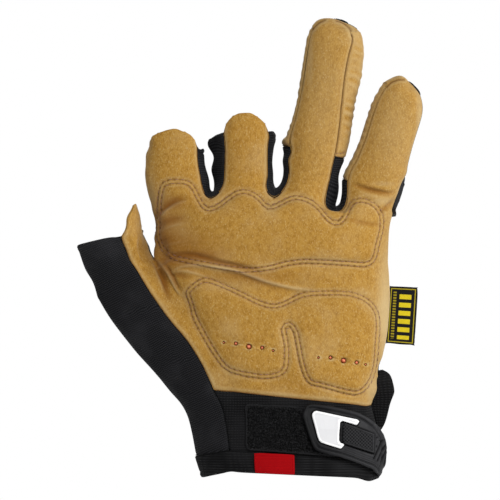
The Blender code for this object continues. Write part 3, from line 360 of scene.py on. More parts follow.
# The second settling, as places on the edges after the first one and where they come to lie, and how far
# one of its rows pulls
EDGE_SETTLES = (
    ((223.7, 128.1), (225, 128.4)), ((224.1, 122.4), (226.2, 124)), ((227.9, 118.2), (228.9, 119.8)),
    ((231.8, 114.2), (232.6, 116.3)), ((238.2, 112.6), (238.5, 113.8)), ((244.7, 111.1), (244.7, 113)),
    ((251.2, 112.6), (251.2, 113.8)), ((257.6, 114.2), (257, 116.4)), ((261.7, 118.2), (261.3, 119.7)),
    ((265.8, 122.4), (264.8, 123.6)), ((267, 128), (266.8, 128)), ((224, 134), (224.4, 134)),
    ((245, 122), (245, 123)), ((217, 131.5), (217.5, 134.6)), ((212.7, 135.8), (211.5, 138.2)),
    ((209.8, 143.4), (208.3, 142.2)), ((213, 150), (213, 150)), ((273.4, 132), (273, 131)),
    ((274.4, 135.8), (275.7, 136)), ((273, 149.2), (273.4, 149.2)), ((149.5, 142.2), (149.7, 142.2)),
    ((154.1, 141), (151.2, 138.4)), ((156.7, 136.7), (153.6, 135.6)), ((159.8, 131.5), (157.8, 133)),
    ((165.6, 128.4), (164.3, 130.8)), ((171, 127.3), (171, 129.1)), ((178.7, 128.6), (178.4, 129.8)),
    ((186.8, 130), (185.9, 131.9)), ((191.4, 134.4), (190.9, 134.8)), ((195.9, 138.7), (194.9, 140.2)),
    ((197.8, 146.3), (197.2, 146.3)), ((172, 138), (172, 138.6)), ((205.5, 145.4), (202.2, 149.8)),
    ((206.9, 150), (203.8, 153)), ((207.6, 160), (204, 160)), ((208.3, 170), (204.9, 170)),
    ((207.6, 180), (206, 181)), ((215, 170), (213.3, 170)), ((213.6, 180), (213, 181)),
    ((213, 188.2), (212, 190.8)), ((146.5, 153.7), (146.3, 153.4)), ((145.7, 162.8), (145.7, 162.8)),
    ((146.5, 173.6), (145.3, 173.6)), ((149.1, 185), (146.8, 185)), ((151.4, 196.5), (149.4, 196.5)),
    ((151, 207.2), (151.8, 207.2)), ((153, 219.5), (154.2, 219.5)), ((155.7, 232.8), (154.6, 232.8)),
    ((155.7, 243.6), (154.6, 243.6)), ((156.1, 254.3), (155.4, 257)), ((130.8, 206.5), (133.3, 205)),
    ((136.5, 205.1), (135.8, 203.2)), ((137.7, 206.5), (136.8, 205.6)), ((141.1, 214.9), (139.4, 214.9)),
    ((144.9, 223.3), (141.4, 223.3)), ((148, 231.7), (142.9, 231.7)), ((149.8, 235.5), (143.7, 235.5)),
    ((151.5, 239.7), (144.2, 239.7)), ((152.3, 243.8), (145, 243.8)), ((153, 248.1), (145.9, 248.1)),
    ((153.8, 251.5), (147.4, 252)), ((154.5, 255), (152.6, 260.5)), ((130, 213.3), (129, 213.3)),
    ((127.3, 221.8), (126.4, 221.8)), ((124.8, 228), (125.5, 229)), ((122.4, 233.2), (122.3, 235)),
    ((352, 42), (351.9, 41)), ((353.5, 50.8), (350.4, 50.8)), ((353, 59), (348.3, 59)),
    ((351.5, 67), (346.4, 67)), ((350, 75), (345.2, 75)), ((348, 82.5), (344, 82.5)),
    ((346, 90), (342.8, 90)), ((344, 98), (341.6, 98)), ((341.4, 110), (339.9, 110)),
    ((364.2, 52.9), (363.5, 52.9)), ((363.7, 67), (362.3, 67)), ((361.6, 75.3), (361, 75.3)),
    ((358, 89.6), (358, 89.6)), ((355.5, 99.8), (355, 99.8)), ((335, 60), (335, 60)),
    ((333, 80), (333, 80)), ((330, 100), (330, 100)), ((341, 45), (341, 45)),
    ((288.7, 130.4), (287.8, 130.4)), ((287.6, 138), (285, 137.5)), ((286.6, 145.7), (283, 143.8)),
    ((285.5, 152), (284.6, 152)), ((290.7, 145.7), (290.7, 145.7)), ((388, 79.4), (391.2, 78.8)),
    ((384, 83.5), (386, 83.5)), ((378, 91.6), (379.6, 91.6)), ((395.3, 76.8), (399.6, 75.9)),
    ((404.5, 80.4), (406.5, 80.3)), ((413.7, 85.5), (413.2, 86.2)), ((371.5, 103.9), (372, 103.9)),
    ((417.8, 91.6), (418.2, 91.8)), ((421, 100), (421.5, 99.5)), ((388.8, 213.1), (391.6, 213.1)),
    ((388.8, 222), (390.8, 222)), ((388.3, 234), (388.5, 234)), ((389.3, 282.8), (388.9, 282.8)),
    ((389.9, 300), (389.5, 300)), ((389.8, 310), (389, 310)), ((389.6, 320), (388.4, 320)),
    ((389, 330), (387.5, 330)), ((388.4, 340), (386.2, 340)), ((387.1, 352.4), (383.4, 352.4)),
    ((386.3, 361), (381.2, 361)), ((385.4, 369), (379, 369)), ((383.5, 377.5), (377.6, 377.5)),
    ((381.3, 385.6), (376.4, 385.6)), ((379.4, 395), (375.5, 395)), ((377.9, 400.3), (374, 400)),
    ((375, 406.1), (371.5, 405)), ((368, 405), (367, 405.4)), ((386.3, 370.7), (382.5, 370)),
    ((390.4, 379), (389.4, 377)), ((395.1, 393.4), (394.4, 392.8)), ((392.2, 402.6), (391.2, 402)),
    ((407.9, 185.5), (404, 184.5)), ((405.9, 200.2), (400, 200)), ((397.9, 209.6), (396.6, 209)),
    ((404.6, 180.8), (404.6, 178)), ((155.9, 249), (155, 249)), ((286, 156), (284.4, 156)),
    ((286, 165), (284.2, 165)), ((368.7, 477.9), (368.7, 481.2)), ((361, 478), (361, 479.6)),
    ((375, 477.9), (374.6, 479.4)), ((352, 478), (352, 478.2)), ((368, 466), (368, 466)),
)
EDGE_REACH = 9.0

# Where the tip guards settle, and the line that the lip of each one makes over its fingertip
GUARD_SETTLES = (
    ((341.2, 21.2), (337, 19.3)), ((345.3, 20.5), (341, 20)), ((351.4, 22), (346.8, 23)),
    ((355.5, 25.3), (350.5, 27)), ((360.6, 30.9), (356, 33)), ((363.8, 41), (360, 42)),
    ((413.7, 84.5), (411.5, 82.4)), ((418.3, 91), (418.7, 90)),
)
GUARD_LIPS = {
    "ring_tip_guard": ((333.5, 20.2), (338.5, 19.8), (343, 21), (348, 23.6)),
    "little_tip_guard": ((408.5, 81.4), (414, 83.4), (418.6, 88), (422, 94)),
}

# A tip guard's gap to the cloth, the wall at its rim, what its middle is thicker by and how far inside the
# rim it is so, and how much a cloth must face back for the guard to be laid on it
GUARD_GAP = 0.15 * MM
GUARD_RIM = 0.5 * MM
GUARD_CROWN = 0.9 * MM
GUARD_SHOULDER = 2.5 * MM
GUARD_FACES = (0.35, 0.70)

# A tip guard's lip: the depths in millimetres where its line is looked for, how far behind it the lip starts
# and how far it reaches over the back, its wall, and how far its middle stands out
LIP_DEPTHS = (-14, 8)
LIP_START = 0.3 * MM
LIP_REACH = 6 * MM
LIP_WALL = 0.5 * MM
LIP_CROWN = 0.60 * MM

# Seams that go on over the fingertips as a line, and the short sewn edges there that don't show
TIP_SEAMS = (
    ((351.7, 37), (351.2, 33), (349.3, 29.3), (346, 25.8), (341.5, 23), (336, 21.3)),
    ((312.5, 30), (315, 27), (319.5, 23), (325, 20.4)),
    ((386, 87.5), (389.5, 83.8), (393, 81.6), (398, 80.2), (404, 80)),
)
HIDDEN_SEAMS = ((355.5, 30), (403, 82), (384, 84), (391, 81), (315, 27))
HIDDEN_SEAM_REACH = 5.5

# Where the seam is pressed flat and its painted shade hardly shows: pixel, its two radii in pixels, and
# how much is gone
FAINT_SEAM = ((303, 85), (12, 60), 0.60)

# The sewn line across the pull loop
LOOP_SEAM = ((252, 470.2), (296, 471.4))

# Short rows of stitches across the lower ends of the sidewalls
CROSS_ROWS = (
    ((335.6, 153.7), (340.5, 153.6), (344.6, 152.6)),
    ((283.2, 143), (287, 144), (290.2, 144.8)),
    ((343.8, 176.6), (345.4, 177.4)),
)

# Ripples of the sidewalls: the direction in which they follow each other, their pitch and rise, and how
# worn the walls are, with painted highlight on the walls that turn away from the lamps
RIPPLE_WAY = (0.30, 0.1, 0.95)
RIPPLE_PITCH = 3.9 * MM
RIPPLE_RISE = 0.16 * MM
SIDEWALL_WEAR_AND_HIGHLIGHT = {"ring_sidewall_inner": 0.40, "ring_sidewall_outer": 0.28, "little_sidewall": 0.40}

# Perforations over the heel foam: pixel and radius in millimetres
Perforation = namedtuple("Perforation", "across down radius")
PERFORATIONS = tuple(
    Perforation(across, down, radius)
    for row in (
        ((224, 342), (236, 343), (249, 346), (262, 347), (273, 350)),
        ((318, 357), (330, 357), (343, 360), (356, 362), (365, 364)),
    )
    for (across, down), radius in zip(row, (0.60, 0.95, 1.30, 0.95, 0.60))
)

# How far around a filled perforation the leather is ironed and how often, and the punch's length and depth
IRONED_REACH = 7.5 * MM
IRONED_ROUNDS = 40
PUNCH_LENGTH = 16 * MM
PUNCH_DEPTH = -18 * MM

# The foam's dome in each perforation: how far it stays back, its depth, and its share of the hole
DOME_BACK = 0.15 * MM
DOME_DEPTH = 2.2 * MM
DOME_SHARE = 0.96

# The strands of the pile patch: the seed of their places, the bare margin at the edge, how far they lean,
# their heights in millimetres, their radii at foot and tip, and the square centimetres in a square metre
PILE_SEED = 7
PILE_MARGIN = 0.9 * MM
STRAND_LEAN = 0.55
STRAND_HEIGHTS = (0.5, 0.9)
STRAND_RADII = (0.16 * MM, 0.05 * MM)
SQUARE_CENTIMETRES = 1e4

# The wrist tab's moulded lines, in pixels of the photograph
TAB_OUTLINE = (
    (303, 414.5), (304.9, 408.3), (306.8, 405.3), (313.3, 404), (330.6, 406.3), (347.8, 409.8),
    (357.8, 412.8), (368, 418), (377, 425), (382, 431), (385.3, 437.5), (387.2, 448), (387, 458),
    (385.8, 466), (383, 470.2), (382.6, 473), (381, 476), (378, 478.3), (376, 478.4), (375.7, 474),
    (372.2, 469.3), (365.7, 466.6), (358.4, 463.8), (349.2, 460.1), (340, 456.9), (332.5, 455.1),
    (321, 452), (316, 449.7), (312.9, 445.9), (309.5, 437.5), (307.2, 430.6), (304.1, 421),
)
INSERT_OUTLINE = (
    (312, 415.6), (312.5, 413.4), (314, 411.6), (316.6, 410.8), (357.2, 419.6), (359, 420.9),
    (359.2, 422), (357.2, 425), (355.9, 425.3), (341.5, 420.4), (340.4, 420.5), (340.1, 421.4),
    (338.9, 441), (339.4, 442.3), (343.4, 443.9), (344, 445), (341.4, 448.1), (340, 448.4),
    (321.4, 442.5), (319, 440.3), (317.8, 437.3),
)
BADGE_OUTLINE = ((340.8, 421), (374.8, 434), (374.6, 453.9), (339.6, 442.2))
TAB_RIBS = (
    ((382.8, 440.9), (374.6, 458.8)), ((385.3, 446), (378.2, 461.2)), ((386.2, 450.8), (381.8, 462.8)),
    ((386.6, 455.6), (384.2, 465.4)),
)
TAB_PITS = ((377.5, 437.8), (380.5, 441), (377.2, 446.6))

# How far in front of the glove's middle the tab lies, so that its lines are drawn where the camera sees them
TAB_DEPTH = 26 * MM

# What is cut in the tab's front: depth, half width or for the fine lines their pitch, and the strength of
# the painted shade in it
Cut = namedtuple("Cut", "depth width dark")
STEP_CUT = Cut(0.35 * MM, 0.30 * MM, 0.55)
INSERT_CUT = Cut(0.60 * MM, 0.42 * MM, 1.0)
BADGE_CUT = Cut(0.45 * MM, 0.46 * MM, 0.9)
LINE_CUT = Cut(0.12 * MM, 0.95 * MM, 0.35)
RIB_CUT = Cut(0.60 * MM, 0.42 * MM, 1.0)
PIT_CUT = Cut(0.45 * MM, 0.46 * MM, 1.0)

# How much a moulding's surface must face the front to be lifted, and how little to be left plain
FRONT_FROM = (0.05, 0.35)
BACK_FROM = 0.1

# The tab's raised rim and the step inside it, which fades out to the left between two pixels, and the band
# of fine lines inside the lower rim, by its distance from the edge and its stretch of the outline
TAB_RIM_RISE = 0.50 * MM
TAB_RIM_HALF = 0.8 * MM
TAB_STEP_AT = 1.95 * MM
TAB_STEP_FADES = (313, 319)
LINES_FROM = (2.0 * MM, 2.3 * MM)
LINES_TO = (5.0 * MM, 5.4 * MM)
LINES_START = (0.47, 0.52)
LINES_END = (0.80, 0.86)

# The pitch of the beads on the badge's field, and where the field starts inside its frame
BEAD_PITCH = 1.5 * MM
FIELD_STARTS = (1.0 * MM, 1.3 * MM)

# The side label's corners, in pixels: top left, top right, bottom right and bottom left
LABEL_CORNERS = ((389.3, 285.9), (418.2, 287.3), (414.7, 345.8), (385.3, 343.4))

# The levels down the side label where its two edges are looked for, and how near a level counts
LABEL_LEVELS = 41
LEVEL_NEAR = 0.03

# The side label's woven pattern: how far from the edges its border runs, how far from the left edge the
# ticks and the bars start and stop, how far from the ends they stay, and their pitches
LABEL_BORDER = (0.86 * MM, 1.30 * MM)
LABEL_TICKS = (2.10 * MM, 3.55 * MM)
LABEL_BARS = (4.90 * MM, 10.30 * MM)
LABEL_MARGIN = 2.3 * MM
TICK_PITCH = 1.25 * MM
BAR_PITCH = 3.7 * MM

# The second tones of the finishes
# The tone of the painted shade in the palm's folds and shaded patches
PAINTED_SHADE_TONE = (0.170, 0.057, 0.006, 1.0)
# The tone of the painted shade in the leather's grooves, seam lines and needle holes
GROOVE_SHADE_TONE = (0.085, 0.030, 0.011, 1.0)
# The knits' painted highlight on their rib tops, also the tone of their lighter patches of nap
KNIT_NAP_AND_HIGHLIGHT = (0.0290, 0.0290, 0.0315, 1.0)
RIB_NAP_AND_HIGHLIGHT = (0.0165, 0.0165, 0.0172, 1.0)
PILE_ROOTS = (0.0010, 0.0010, 0.0010, 1.0)
PILE_TIPS = (0.0230, 0.0230, 0.0240, 1.0)
PILE_EDGE = (0.0150, 0.0150, 0.0160, 1.0)
# The rubber's dust, also its painted highlight towards the side lamp
RUBBER_DUST_AND_HIGHLIGHT = (0.0265, 0.0265, 0.0285, 1.0)
# Painted shade in the rubber's moulded cuts
RUBBER_GROOVE_SHADE = (0.0006, 0.0006, 0.0007, 1.0)
VINYL_STAIN = (0.62, 0.62, 0.62, 1.0)
VINYL_BORDER = (0.70, 0.70, 0.70, 1.0)
TAPE_GAPS = (0.20, 0.0010, 0.0025, 1.0)
FOAM_CELLS = (0.42, 0.08, 0.03, 1.0)
THREAD_SHADE = (0.160, 0.080, 0.055, 1.0)
BLACK = (0.0, 0.0, 0.0, 1.0)
WHITE = (1.0, 1.0, 1.0, 1.0)

# A thread: half its length as a share of the way between its holes, half its height and its lift as shares
# of its width, and the longest way in stitch lengths
THREAD_REACH = 0.31
THREAD_HEIGHT = 0.42
THREAD_LIFT = 0.18
THREAD_LONGEST = 2.5

# The stage: the floor's radius, level and two tones, the sky's strength, the camera's sensor in millimetres,
# and the lamps by power in watts, size and place
FLOOR_RADIUS = 1.2
FLOOR_LEVEL = -0.05
FLOOR_TONES = ((0.82, 0.82, 0.82, 1), (0.86, 0.86, 0.86, 1))
SKY_STRENGTH = 0.34
SENSOR_WIDTH = 36.0
Lamp = namedtuple("Lamp", "name power size place")
LAMPS = (
    Lamp("key", 20.5, 0.7, (0.45, -1.42, 1.00)),
    Lamp("fill", 5.0, 1.4, (-1.3, -1.5, 0.2)),
    Lamp("side", 15.0, 0.6, (1.45, -0.40, 0.30)),
    Lamp("back", 14.0, 1.2, (0.2, 1.6, 0.9)),
)


def spots(pixels):
    """The places in X and Z of pixels of the photograph."""
    pixels = np.asarray(pixels, float)
    return np.column_stack(((pixels[:, 0] - PIXEL_ACROSS) * PIXEL, (PIXEL_DOWN - pixels[:, 1]) * PIXEL))


# Sizes and colours that a user would change


def length(name, description, value):
    """A length that a user can change."""
    return FloatProperty(name=name, description=description, default=value, unit="LENGTH")


def tint(name, description, value):
    """A colour that a user can change."""
    told = {"name": name, "description": description, "default": value}
    return FloatVectorProperty(**told, subtype="COLOR", min=0, max=1)


class GloveSizes(bpy.types.PropertyGroup):
    pad_height: length("Pad height", "How far the stitched pads stand proud", 0.9 * MM)
    row_depth: length("Stitch row depth", "Depth of the groove that the thread pulls", 0.34 * MM)
    seam_depth: length("Seam depth", "How far a sewn edge turns in", 0.75 * MM)
    hem_height: length("Hem height", "How far a folded hem stands proud", 0.3 * MM)
    stitch_pitch: length("Stitch length", "From one needle hole to the next", 2.75 * MM)
    thread_width: length("Thread width", "Across one thread", 0.38 * MM)
    ripple: length("Leather ripple", "Rise and fall of the worn leather", 0.22 * MM)
    strands: IntProperty(
        name="Pile strands",
        description="Strands on a square centimetre of pile",
        default=420,
    )


class GloveColours(bpy.types.PropertyGroup):
    leather: tint("Leather", "Suede where the nap stands", (0.350, 0.192, 0.037))
    leather_dark: tint("Leather shade", "Suede in its flecks and folds", (0.245, 0.117, 0.016))
    # Also the tone of the painted highlight on ridges, crests and edges that face the lamps
    leather_light: tint("Leather highlight", "Suede where it is brushed flat", (0.46, 0.350, 0.180))
    knit: tint("Knit", "Stretch knit of the back and thumb", (0.0085, 0.0085, 0.0095))
    rib: tint("Rib", "Elastic rib of the cuff", (0.0065, 0.0065, 0.0070))
    rubber: tint("Rubber", "Moulded tab and guards", (0.0024, 0.0024, 0.0028))
    vinyl: tint("Vinyl", "Insert of the tab", (0.50, 0.50, 0.51))
    tape: tint("Tape", "Pull loop", (0.43, 0.0010, 0.0030))
    label: tint("Label", "Ground of the woven label", (0.007, 0.007, 0.008))
    border: tint("Label border", "Woven lines of the label", (0.72, 0.56, 0.015))
    foam: tint("Foam", "Padding behind the perforations", (0.80, 0.26, 0.13))
    thread: tint("Thread", "Sewing thread", (0.290, 0.160, 0.105))


def sizes():
    """The glove's sizes, as the user has set them."""
    return bpy.context.scene.glove_sizes


def colour(name):
    """One of the glove's colours with its alpha, as the user has set it."""
    return (*getattr(bpy.context.scene.glove_colours, name), 1.0)


# Shader maths and finishes


class Value:
    """A socket of a material, on which arithmetic adds Math nodes."""

    def __init__(self, tree, socket):
        self.tree, self.socket = tree, socket

    def math(self, operation, *others, swap=False):
        """The value with a Math node's operation done on it."""
        terms = (*others, self) if swap else (self, *others)
        node = self.tree.nodes.new("ShaderNodeMath")
        node.operation = operation
        for slot, term in zip(node.inputs, terms):
            connect(self.tree, slot, term)
        return Value(self.tree, node.outputs[0])

    def __add__(self, other):
        return self.math("ADD", other)

    def __rsub__(self, other):
        return self.math("SUBTRACT", other, swap=True)

    def __mul__(self, other):
        return self.math("MULTIPLY", other)

    __radd__ = __add__
    __rmul__ = __mul__


def connect(tree, slot, item):
    """Links a value to a socket, or sets the socket to a constant."""
    if isinstance(item, Value):
        tree.links.new(item.socket, slot)
    else:
        slot.default_value = item


class Finish:
    """A material being made. What doesn't change over its surface is set on the shader's own sockets."""

    def __init__(self, name, **constants):
        self.material = bpy.data.materials.new(name)
        self.material.use_nodes = True
        self.tree = self.material.node_tree
        self.shader = self.tree.nodes["Principled BSDF"]
        for socket, value in constants.items():
            self.shader.inputs[socket.replace("_", " ")].default_value = value

    def add(self, kind, settings=None, values=None, out=0):
        """A node of a type, with its settings made first and then its sockets' values or links."""
        node = self.tree.nodes.new("ShaderNode" + kind)
        for key, value in (settings or {}).items():
            setattr(node, key, value)
        for key, value in (values or {}).items():
            connect(self.tree, node.inputs[key], value)
        return Value(self.tree, node.outputs[out])

    def place(self):
        """The place on the piece."""
        return self.add("TexCoord", out="Object")

    def own(self, name, out="Fac"):
        """What the mesh says at a vertex, by its attribute's name."""
        return self.add("Attribute", {"attribute_name": name}, out=out)

    def parts(self, vector):
        """The three parts of a vector."""
        return [self.add("SeparateXYZ", {}, {0: vector}, out=axis) for axis in (0, 1, 2)]

    def moved(self, vector, turn=(0, 0, 0), scale=(1, 1, 1)):
        """A place turned and scaled."""
        values = {"Vector": vector, "Rotation": turn, "Scale": scale}
        return self.add("Mapping", {"vector_type": "POINT"}, values)

    def noise(self, where, scale, detail=2.0, roughness=0.5):
        values = {"Vector": where, "Scale": scale, "Detail": detail, "Roughness": roughness}
        return self.add("TexNoise", {"noise_dimensions": "3D"}, values)

    def cells(self, where, scale):
        return self.add("TexVoronoi", {"feature": "F1"}, {"Vector": where, "Scale": scale})

    def fade(self, value, low, high):
        """0 below low and 1 above high, with soft ends."""
        values = {"Value": value, "From Min": low, "From Max": high}
        return self.add("MapRange", {"interpolation_type": "SMOOTHSTEP"}, values)

    def band(self, value, start, stop, soft):
        """1 between start and stop and 0 outside them, with soft ends."""
        return self.fade(value, start, start + soft) * (1.0 - self.fade(value, stop, stop + soft))

    def blend(self, factor, one, two):
        """A colour that goes from one to two as the factor goes from 0 to 1."""
        settings = {"data_type": "RGBA", "blend_type": "MIX"}
        return self.add("Mix", settings, {0: factor, 6: one, 7: two}, out=2)

    def wave(self, value, pitch):
        """A smooth wave from 0 to 1 that repeats at each pitch."""
        return (value * (2 * math.pi / pitch)).math("SINE") * 0.5 + 0.5

    def done(self, tone, roughness, height=None):
        """Joins the colour, the roughness and the relief in metres to the shader."""
        connect(self.tree, self.shader.inputs["Base Color"], tone)
        connect(self.tree, self.shader.inputs["Roughness"], roughness)
        if height is not None:
            bump = self.add("Bump", {}, {"Strength": 1.0, "Distance": 1.0, "Height": height})
            connect(self.tree, self.shader.inputs["Normal"], bump)
        return self.material


@cache
def suede():
    made = Finish(
        "tan_suede",
        Sheen_Weight=0.22,
        Sheen_Roughness=0.42,
        Sheen_Tint=(1.0, 0.86, 0.60, 1.0),
        Specular_IOR_Level=0.10,
    )
    at = made.place()
    broad = made.noise(at, 55.0, 2.0)
    mottle = made.noise(made.moved(at, scale=(1.0, 1.0, 0.75)), 620.0, 4.0, 0.65)
    fleck = made.noise(made.moved(at, turn=(0, 0.35, 0), scale=(1.0, 1.0, 0.65)), 1700.0, 3.0, 0.65)
    fibre = made.noise(at, 5200.0, 2.0)
    groove, worn, shade = made.own("groove"), made.own("worn"), made.own("shade")
    light, dark = colour("leather_light"), colour("leather_dark")
    tone = made.blend(made.fade(mottle * 0.55 + fleck * 0.45, 0.33, 0.60), dark, colour("leather"))
    tone = made.blend(made.fade(fleck, 0.53, 0.74) * 0.50, tone, light)
    # Lighter leather where it is worn, and painted highlight on ridges, crests and edges that face the lamps
    tone = made.blend((made.fade(broad, 0.45, 0.75) * 0.20 + worn * 0.70).math("MINIMUM", 1.0), tone, light)
    # Painted shade in the folds and patches, mottled
    tone = made.blend(shade * (0.60 + mottle * 0.6), tone, PAINTED_SHADE_TONE)
    # Painted shade in the grooves, seam lines and needle holes
    tone = made.blend(groove * 0.90, tone, GROOVE_SHADE_TONE)
    height = mottle * (0.14 * MM) + fleck * (0.11 * MM) + fibre * (0.03 * MM)
    return made.done(tone, 0.86 + fibre * 0.12, height)


def knitted(name, ground, lift, rows, columns, depth):
    """A black cloth: ribs across its grain, cells along them, painted highlight on the tops, painted shade
    in the troughs, and lighter patches of nap.
    """
    made = Finish(name, Sheen_Weight=0.02, Sheen_Roughness=0.45, Specular_IOR_Level=0.05)
    at = made.own("weave", "Vector")
    wander = made.noise(at, 260.0, 2.0) * (0.25 * MM)
    across, along, _ = made.parts(at)
    ribs = made.wave(along + wander, rows)
    cells = made.wave(across + wander + ribs * (0.25 * columns), columns)
    fuzz = made.noise(made.place(), 3800.0, 2.0)
    broad = made.noise(made.place(), 60.0, 2.0)
    tops = ribs * (0.35 + 0.65 * cells)
    # Painted shade in the troughs, painted highlight on the rib tops
    deep = (*(part * 0.55 for part in ground[:3]), 1.0)
    tone = made.blend(tops * (0.55 + fuzz * 0.45), deep, lift)
    tone = made.blend(made.fade(broad, 0.45, 0.7) * 0.35, tone, lift)
    return made.done(tone, 0.88 - tops * 0.12, tops * depth + fuzz * (0.08 * MM))


@cache
def knit():
    ground = colour("knit")
    return knitted("black_knit", ground, KNIT_NAP_AND_HIGHLIGHT, rows=0.95 * MM, columns=0.90 * MM, depth=0.16 * MM)


@cache
def rib():
    ground = colour("rib")
    return knitted("black_rib", ground, RIB_NAP_AND_HIGHLIGHT, rows=1.15 * MM, columns=1.3 * MM, depth=0.26 * MM)


@cache
def pile():
    made = Finish("black_fleece", Specular_IOR_Level=0.05)
    lumps = made.noise(made.place(), 1900.0, 3.0, 0.6)
    selvedge = 1.0 - made.fade(made.own("from_edge"), 0.35 * MM, 0.75 * MM)
    tone = made.blend(made.fade(lumps, 0.40, 0.7), PILE_ROOTS, PILE_TIPS)
    tone = made.blend(selvedge * 0.8, tone, PILE_EDGE)
    return made.done(tone, 0.92 - lumps * 0.1, lumps * (0.3 * MM))


@cache
def rubber():
    made = Finish("black_rubber", Specular_IOR_Level=0.10)
    grain = made.noise(made.place(), 2600.0, 3.0)
    dust = made.fade(made.noise(made.place(), 150.0, 3.0), 0.5, 0.8)
    groove = made.own("groove")
    # Painted highlight, lighter towards +X where the side lamp falls on the tab
    side_highlight = made.fade(made.parts(made.place())[0], 6 * MM, 30 * MM)
    tone = made.blend(side_highlight * 0.55 + dust * 0.25 + grain * 0.20, colour("rubber"), RUBBER_DUST_AND_HIGHLIGHT)
    # Painted shade in the moulded cuts
    tone = made.blend(groove, tone, RUBBER_GROOVE_SHADE)
    return made.done(tone, 0.44 + grain * 0.12 + groove * 0.3, grain * (0.03 * MM))


@cache
def vinyl():
    made = Finish("white_vinyl", IOR=1.5)
    grain = made.noise(made.place(), 1500.0, 2.0)
    stain = made.fade(made.noise(made.place(), 180.0, 3.0), 0.55, 0.85)
    tone = made.blend(stain * 0.25, colour("vinyl"), VINYL_STAIN)
    tone = made.blend(made.own("border"), tone, VINYL_BORDER)
    return made.done(tone, 0.36 + grain * 0.12, grain * (0.012 * MM))


@cache
def tape():
    made = Finish("red_webbing", Specular_IOR_Level=0.04)
    across, along, _ = made.parts(made.own("weave", "Vector"))
    warp = made.wave(across, 0.46 * MM)
    weft = made.wave(along + warp * (0.2 * MM), 0.62 * MM)
    fuzz = made.noise(made.place(), 3000.0, 2.0)
    tops = warp * 0.5 + weft * 0.5
    tone = made.blend(tops * (0.4 + fuzz * 0.6), TAPE_GAPS, colour("tape"))
    return made.done(tone, 0.72 - tops * 0.12, tops * (0.10 * MM))


@cache
def foam():
    made = Finish("orange_foam")
    cells = made.cells(made.place(), 1700.0)
    tone = made.blend(made.fade(cells, 0.2, 0.7), FOAM_CELLS, colour("foam"))
    return made.done(tone, 0.85 - cells * 0.1, cells * (0.10 * MM))


@cache
def thread():
    made = Finish("brown_thread", Specular_IOR_Level=0.20)
    twist = made.noise(made.place(), 4200.0, 1.0)
    tone = made.blend(made.fade(twist, 0.35, 0.65), THREAD_SHADE, colour("thread"))
    return made.done(tone, 0.60 + twist * 0.15, twist * (0.04 * MM))


@cache
def label_cloth():
    """Black woven cloth with a yellow border, a column of plain bars and a column of ticks."""
    made = Finish("woven_label", Specular_IOR_Level=0.12)
    across, along = made.own("across"), made.own("along")
    edge = made.own("across_edge").math("MINIMUM", made.own("along_edge"))
    warp = made.wave(across, 0.34 * MM)
    weft = made.wave(along, 0.40 * MM)
    border = made.band(edge, *LABEL_BORDER, 0.12 * MM)
    field = made.fade(made.own("along_edge"), LABEL_MARGIN, LABEL_MARGIN + 0.15 * MM)
    bars = made.fade(made.wave(along, BAR_PITCH), 0.34, 0.42) * field
    bars = bars * made.band(across, *LABEL_BARS, 0.15 * MM)
    ticks = made.fade(made.wave(along, TICK_PITCH), 0.30, 0.50) * field
    ticks = ticks * made.band(across, *LABEL_TICKS, 0.15 * MM)
    woven = warp * 0.5 + weft * 0.5
    yellow = (border * 0.55 + ticks * 0.50 + bars).math("MINIMUM", 1.0)
    tone = made.blend(yellow, colour("label"), colour("border"))
    tone = made.blend(woven * 0.45, tone, BLACK)
    return made.done(tone, 0.66 + woven * 0.16, woven * (0.07 * MM) + (border + bars) * (0.05 * MM))


# Meshes as arrays


def merged(name):
    """A bmesh of the node's mesh with its doubles merged and its pairs of triangles made quads again."""
    shape = bmesh.new()
    shape.from_mesh(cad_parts[name].data)
    bmesh.ops.remove_doubles(shape, verts=shape.verts[:], dist=SAME_PLACE)
    bmesh.ops.join_triangles(
        shape,
        faces=shape.faces[:],
        angle_face_threshold=QUAD_ANGLE,
        angle_shape_threshold=QUAD_ANGLE,
        topology_influence=1.0,
    )
    return shape


def islands(faces, crosses):
    """Groups of faces, where two faces go together if an edge between them may be crossed."""
    left, found = set(faces), []
    for first in faces:
        if first not in left:
            continue
        left.discard(first)
        stack, group = [first], [first]
        while stack:
            for edge in stack.pop().edges:
                if crosses(edge):
                    for face in edge.link_faces:
                        if face in left:
                            left.remove(face)
                            stack.append(face)
                            group.append(face)
        found.append(group)
    return found


def plug_holes(shape):
    """Fills the perforations, which are cut again once the leather is fine."""
    groups = islands(shape.faces[:], lambda edge: edge.calc_face_angle(math.pi) < FOLD_ANGLE)
    doomed = set()
    for group in groups:
        places = np.array([vert.co for face in group for vert in face.verts])
        if np.linalg.norm(np.ptp(places, axis=0)) < HOLE_GROUP_SPAN:
            doomed.update(vert for face in group for vert in face.verts)
    bmesh.ops.delete(shape, geom=list(doomed), context="VERTS")
    edges = [edge for edge in shape.edges if edge.is_boundary]
    bmesh.ops.holes_fill(shape, edges=edges, sides=0)


def sheets(shape, wall):
    """The outer and the inner sheet of a panel as sets of faces. What is left is its rim."""

    def is_rim(face):
        if len(face.verts) != 4:
            return False
        lengths = [edge.calc_length() for edge in face.edges]
        spare = wall * WALL_TOLERANCE
        return any(abs(lengths[k] - wall) < spare and abs(lengths[k + 2] - wall) < spare for k in (0, 1))

    walls = [face for face in shape.faces if not is_rim(face)]
    kept = set(walls)
    groups = islands(walls, lambda edge: all(face in kept for face in edge.link_faces))
    groups.sort(key=lambda group: -sum(face.calc_area() for face in group))
    if len(groups) < 2:
        raise RuntimeError("a panel has no two wall sheets")
    groups = sorted(groups[:2], key=sheltered)
    return set(groups[0]), set(groups[1])


@cache
def everything():
    """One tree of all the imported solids."""
    points, faces = [], []
    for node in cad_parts.values():
        start = len(points)
        points += [vert.co.copy() for vert in node.data.vertices]
        faces += [[start + index for index in face.vertices] for face in node.data.polygons]
    return BVHTree.FromPolygons(points, faces)


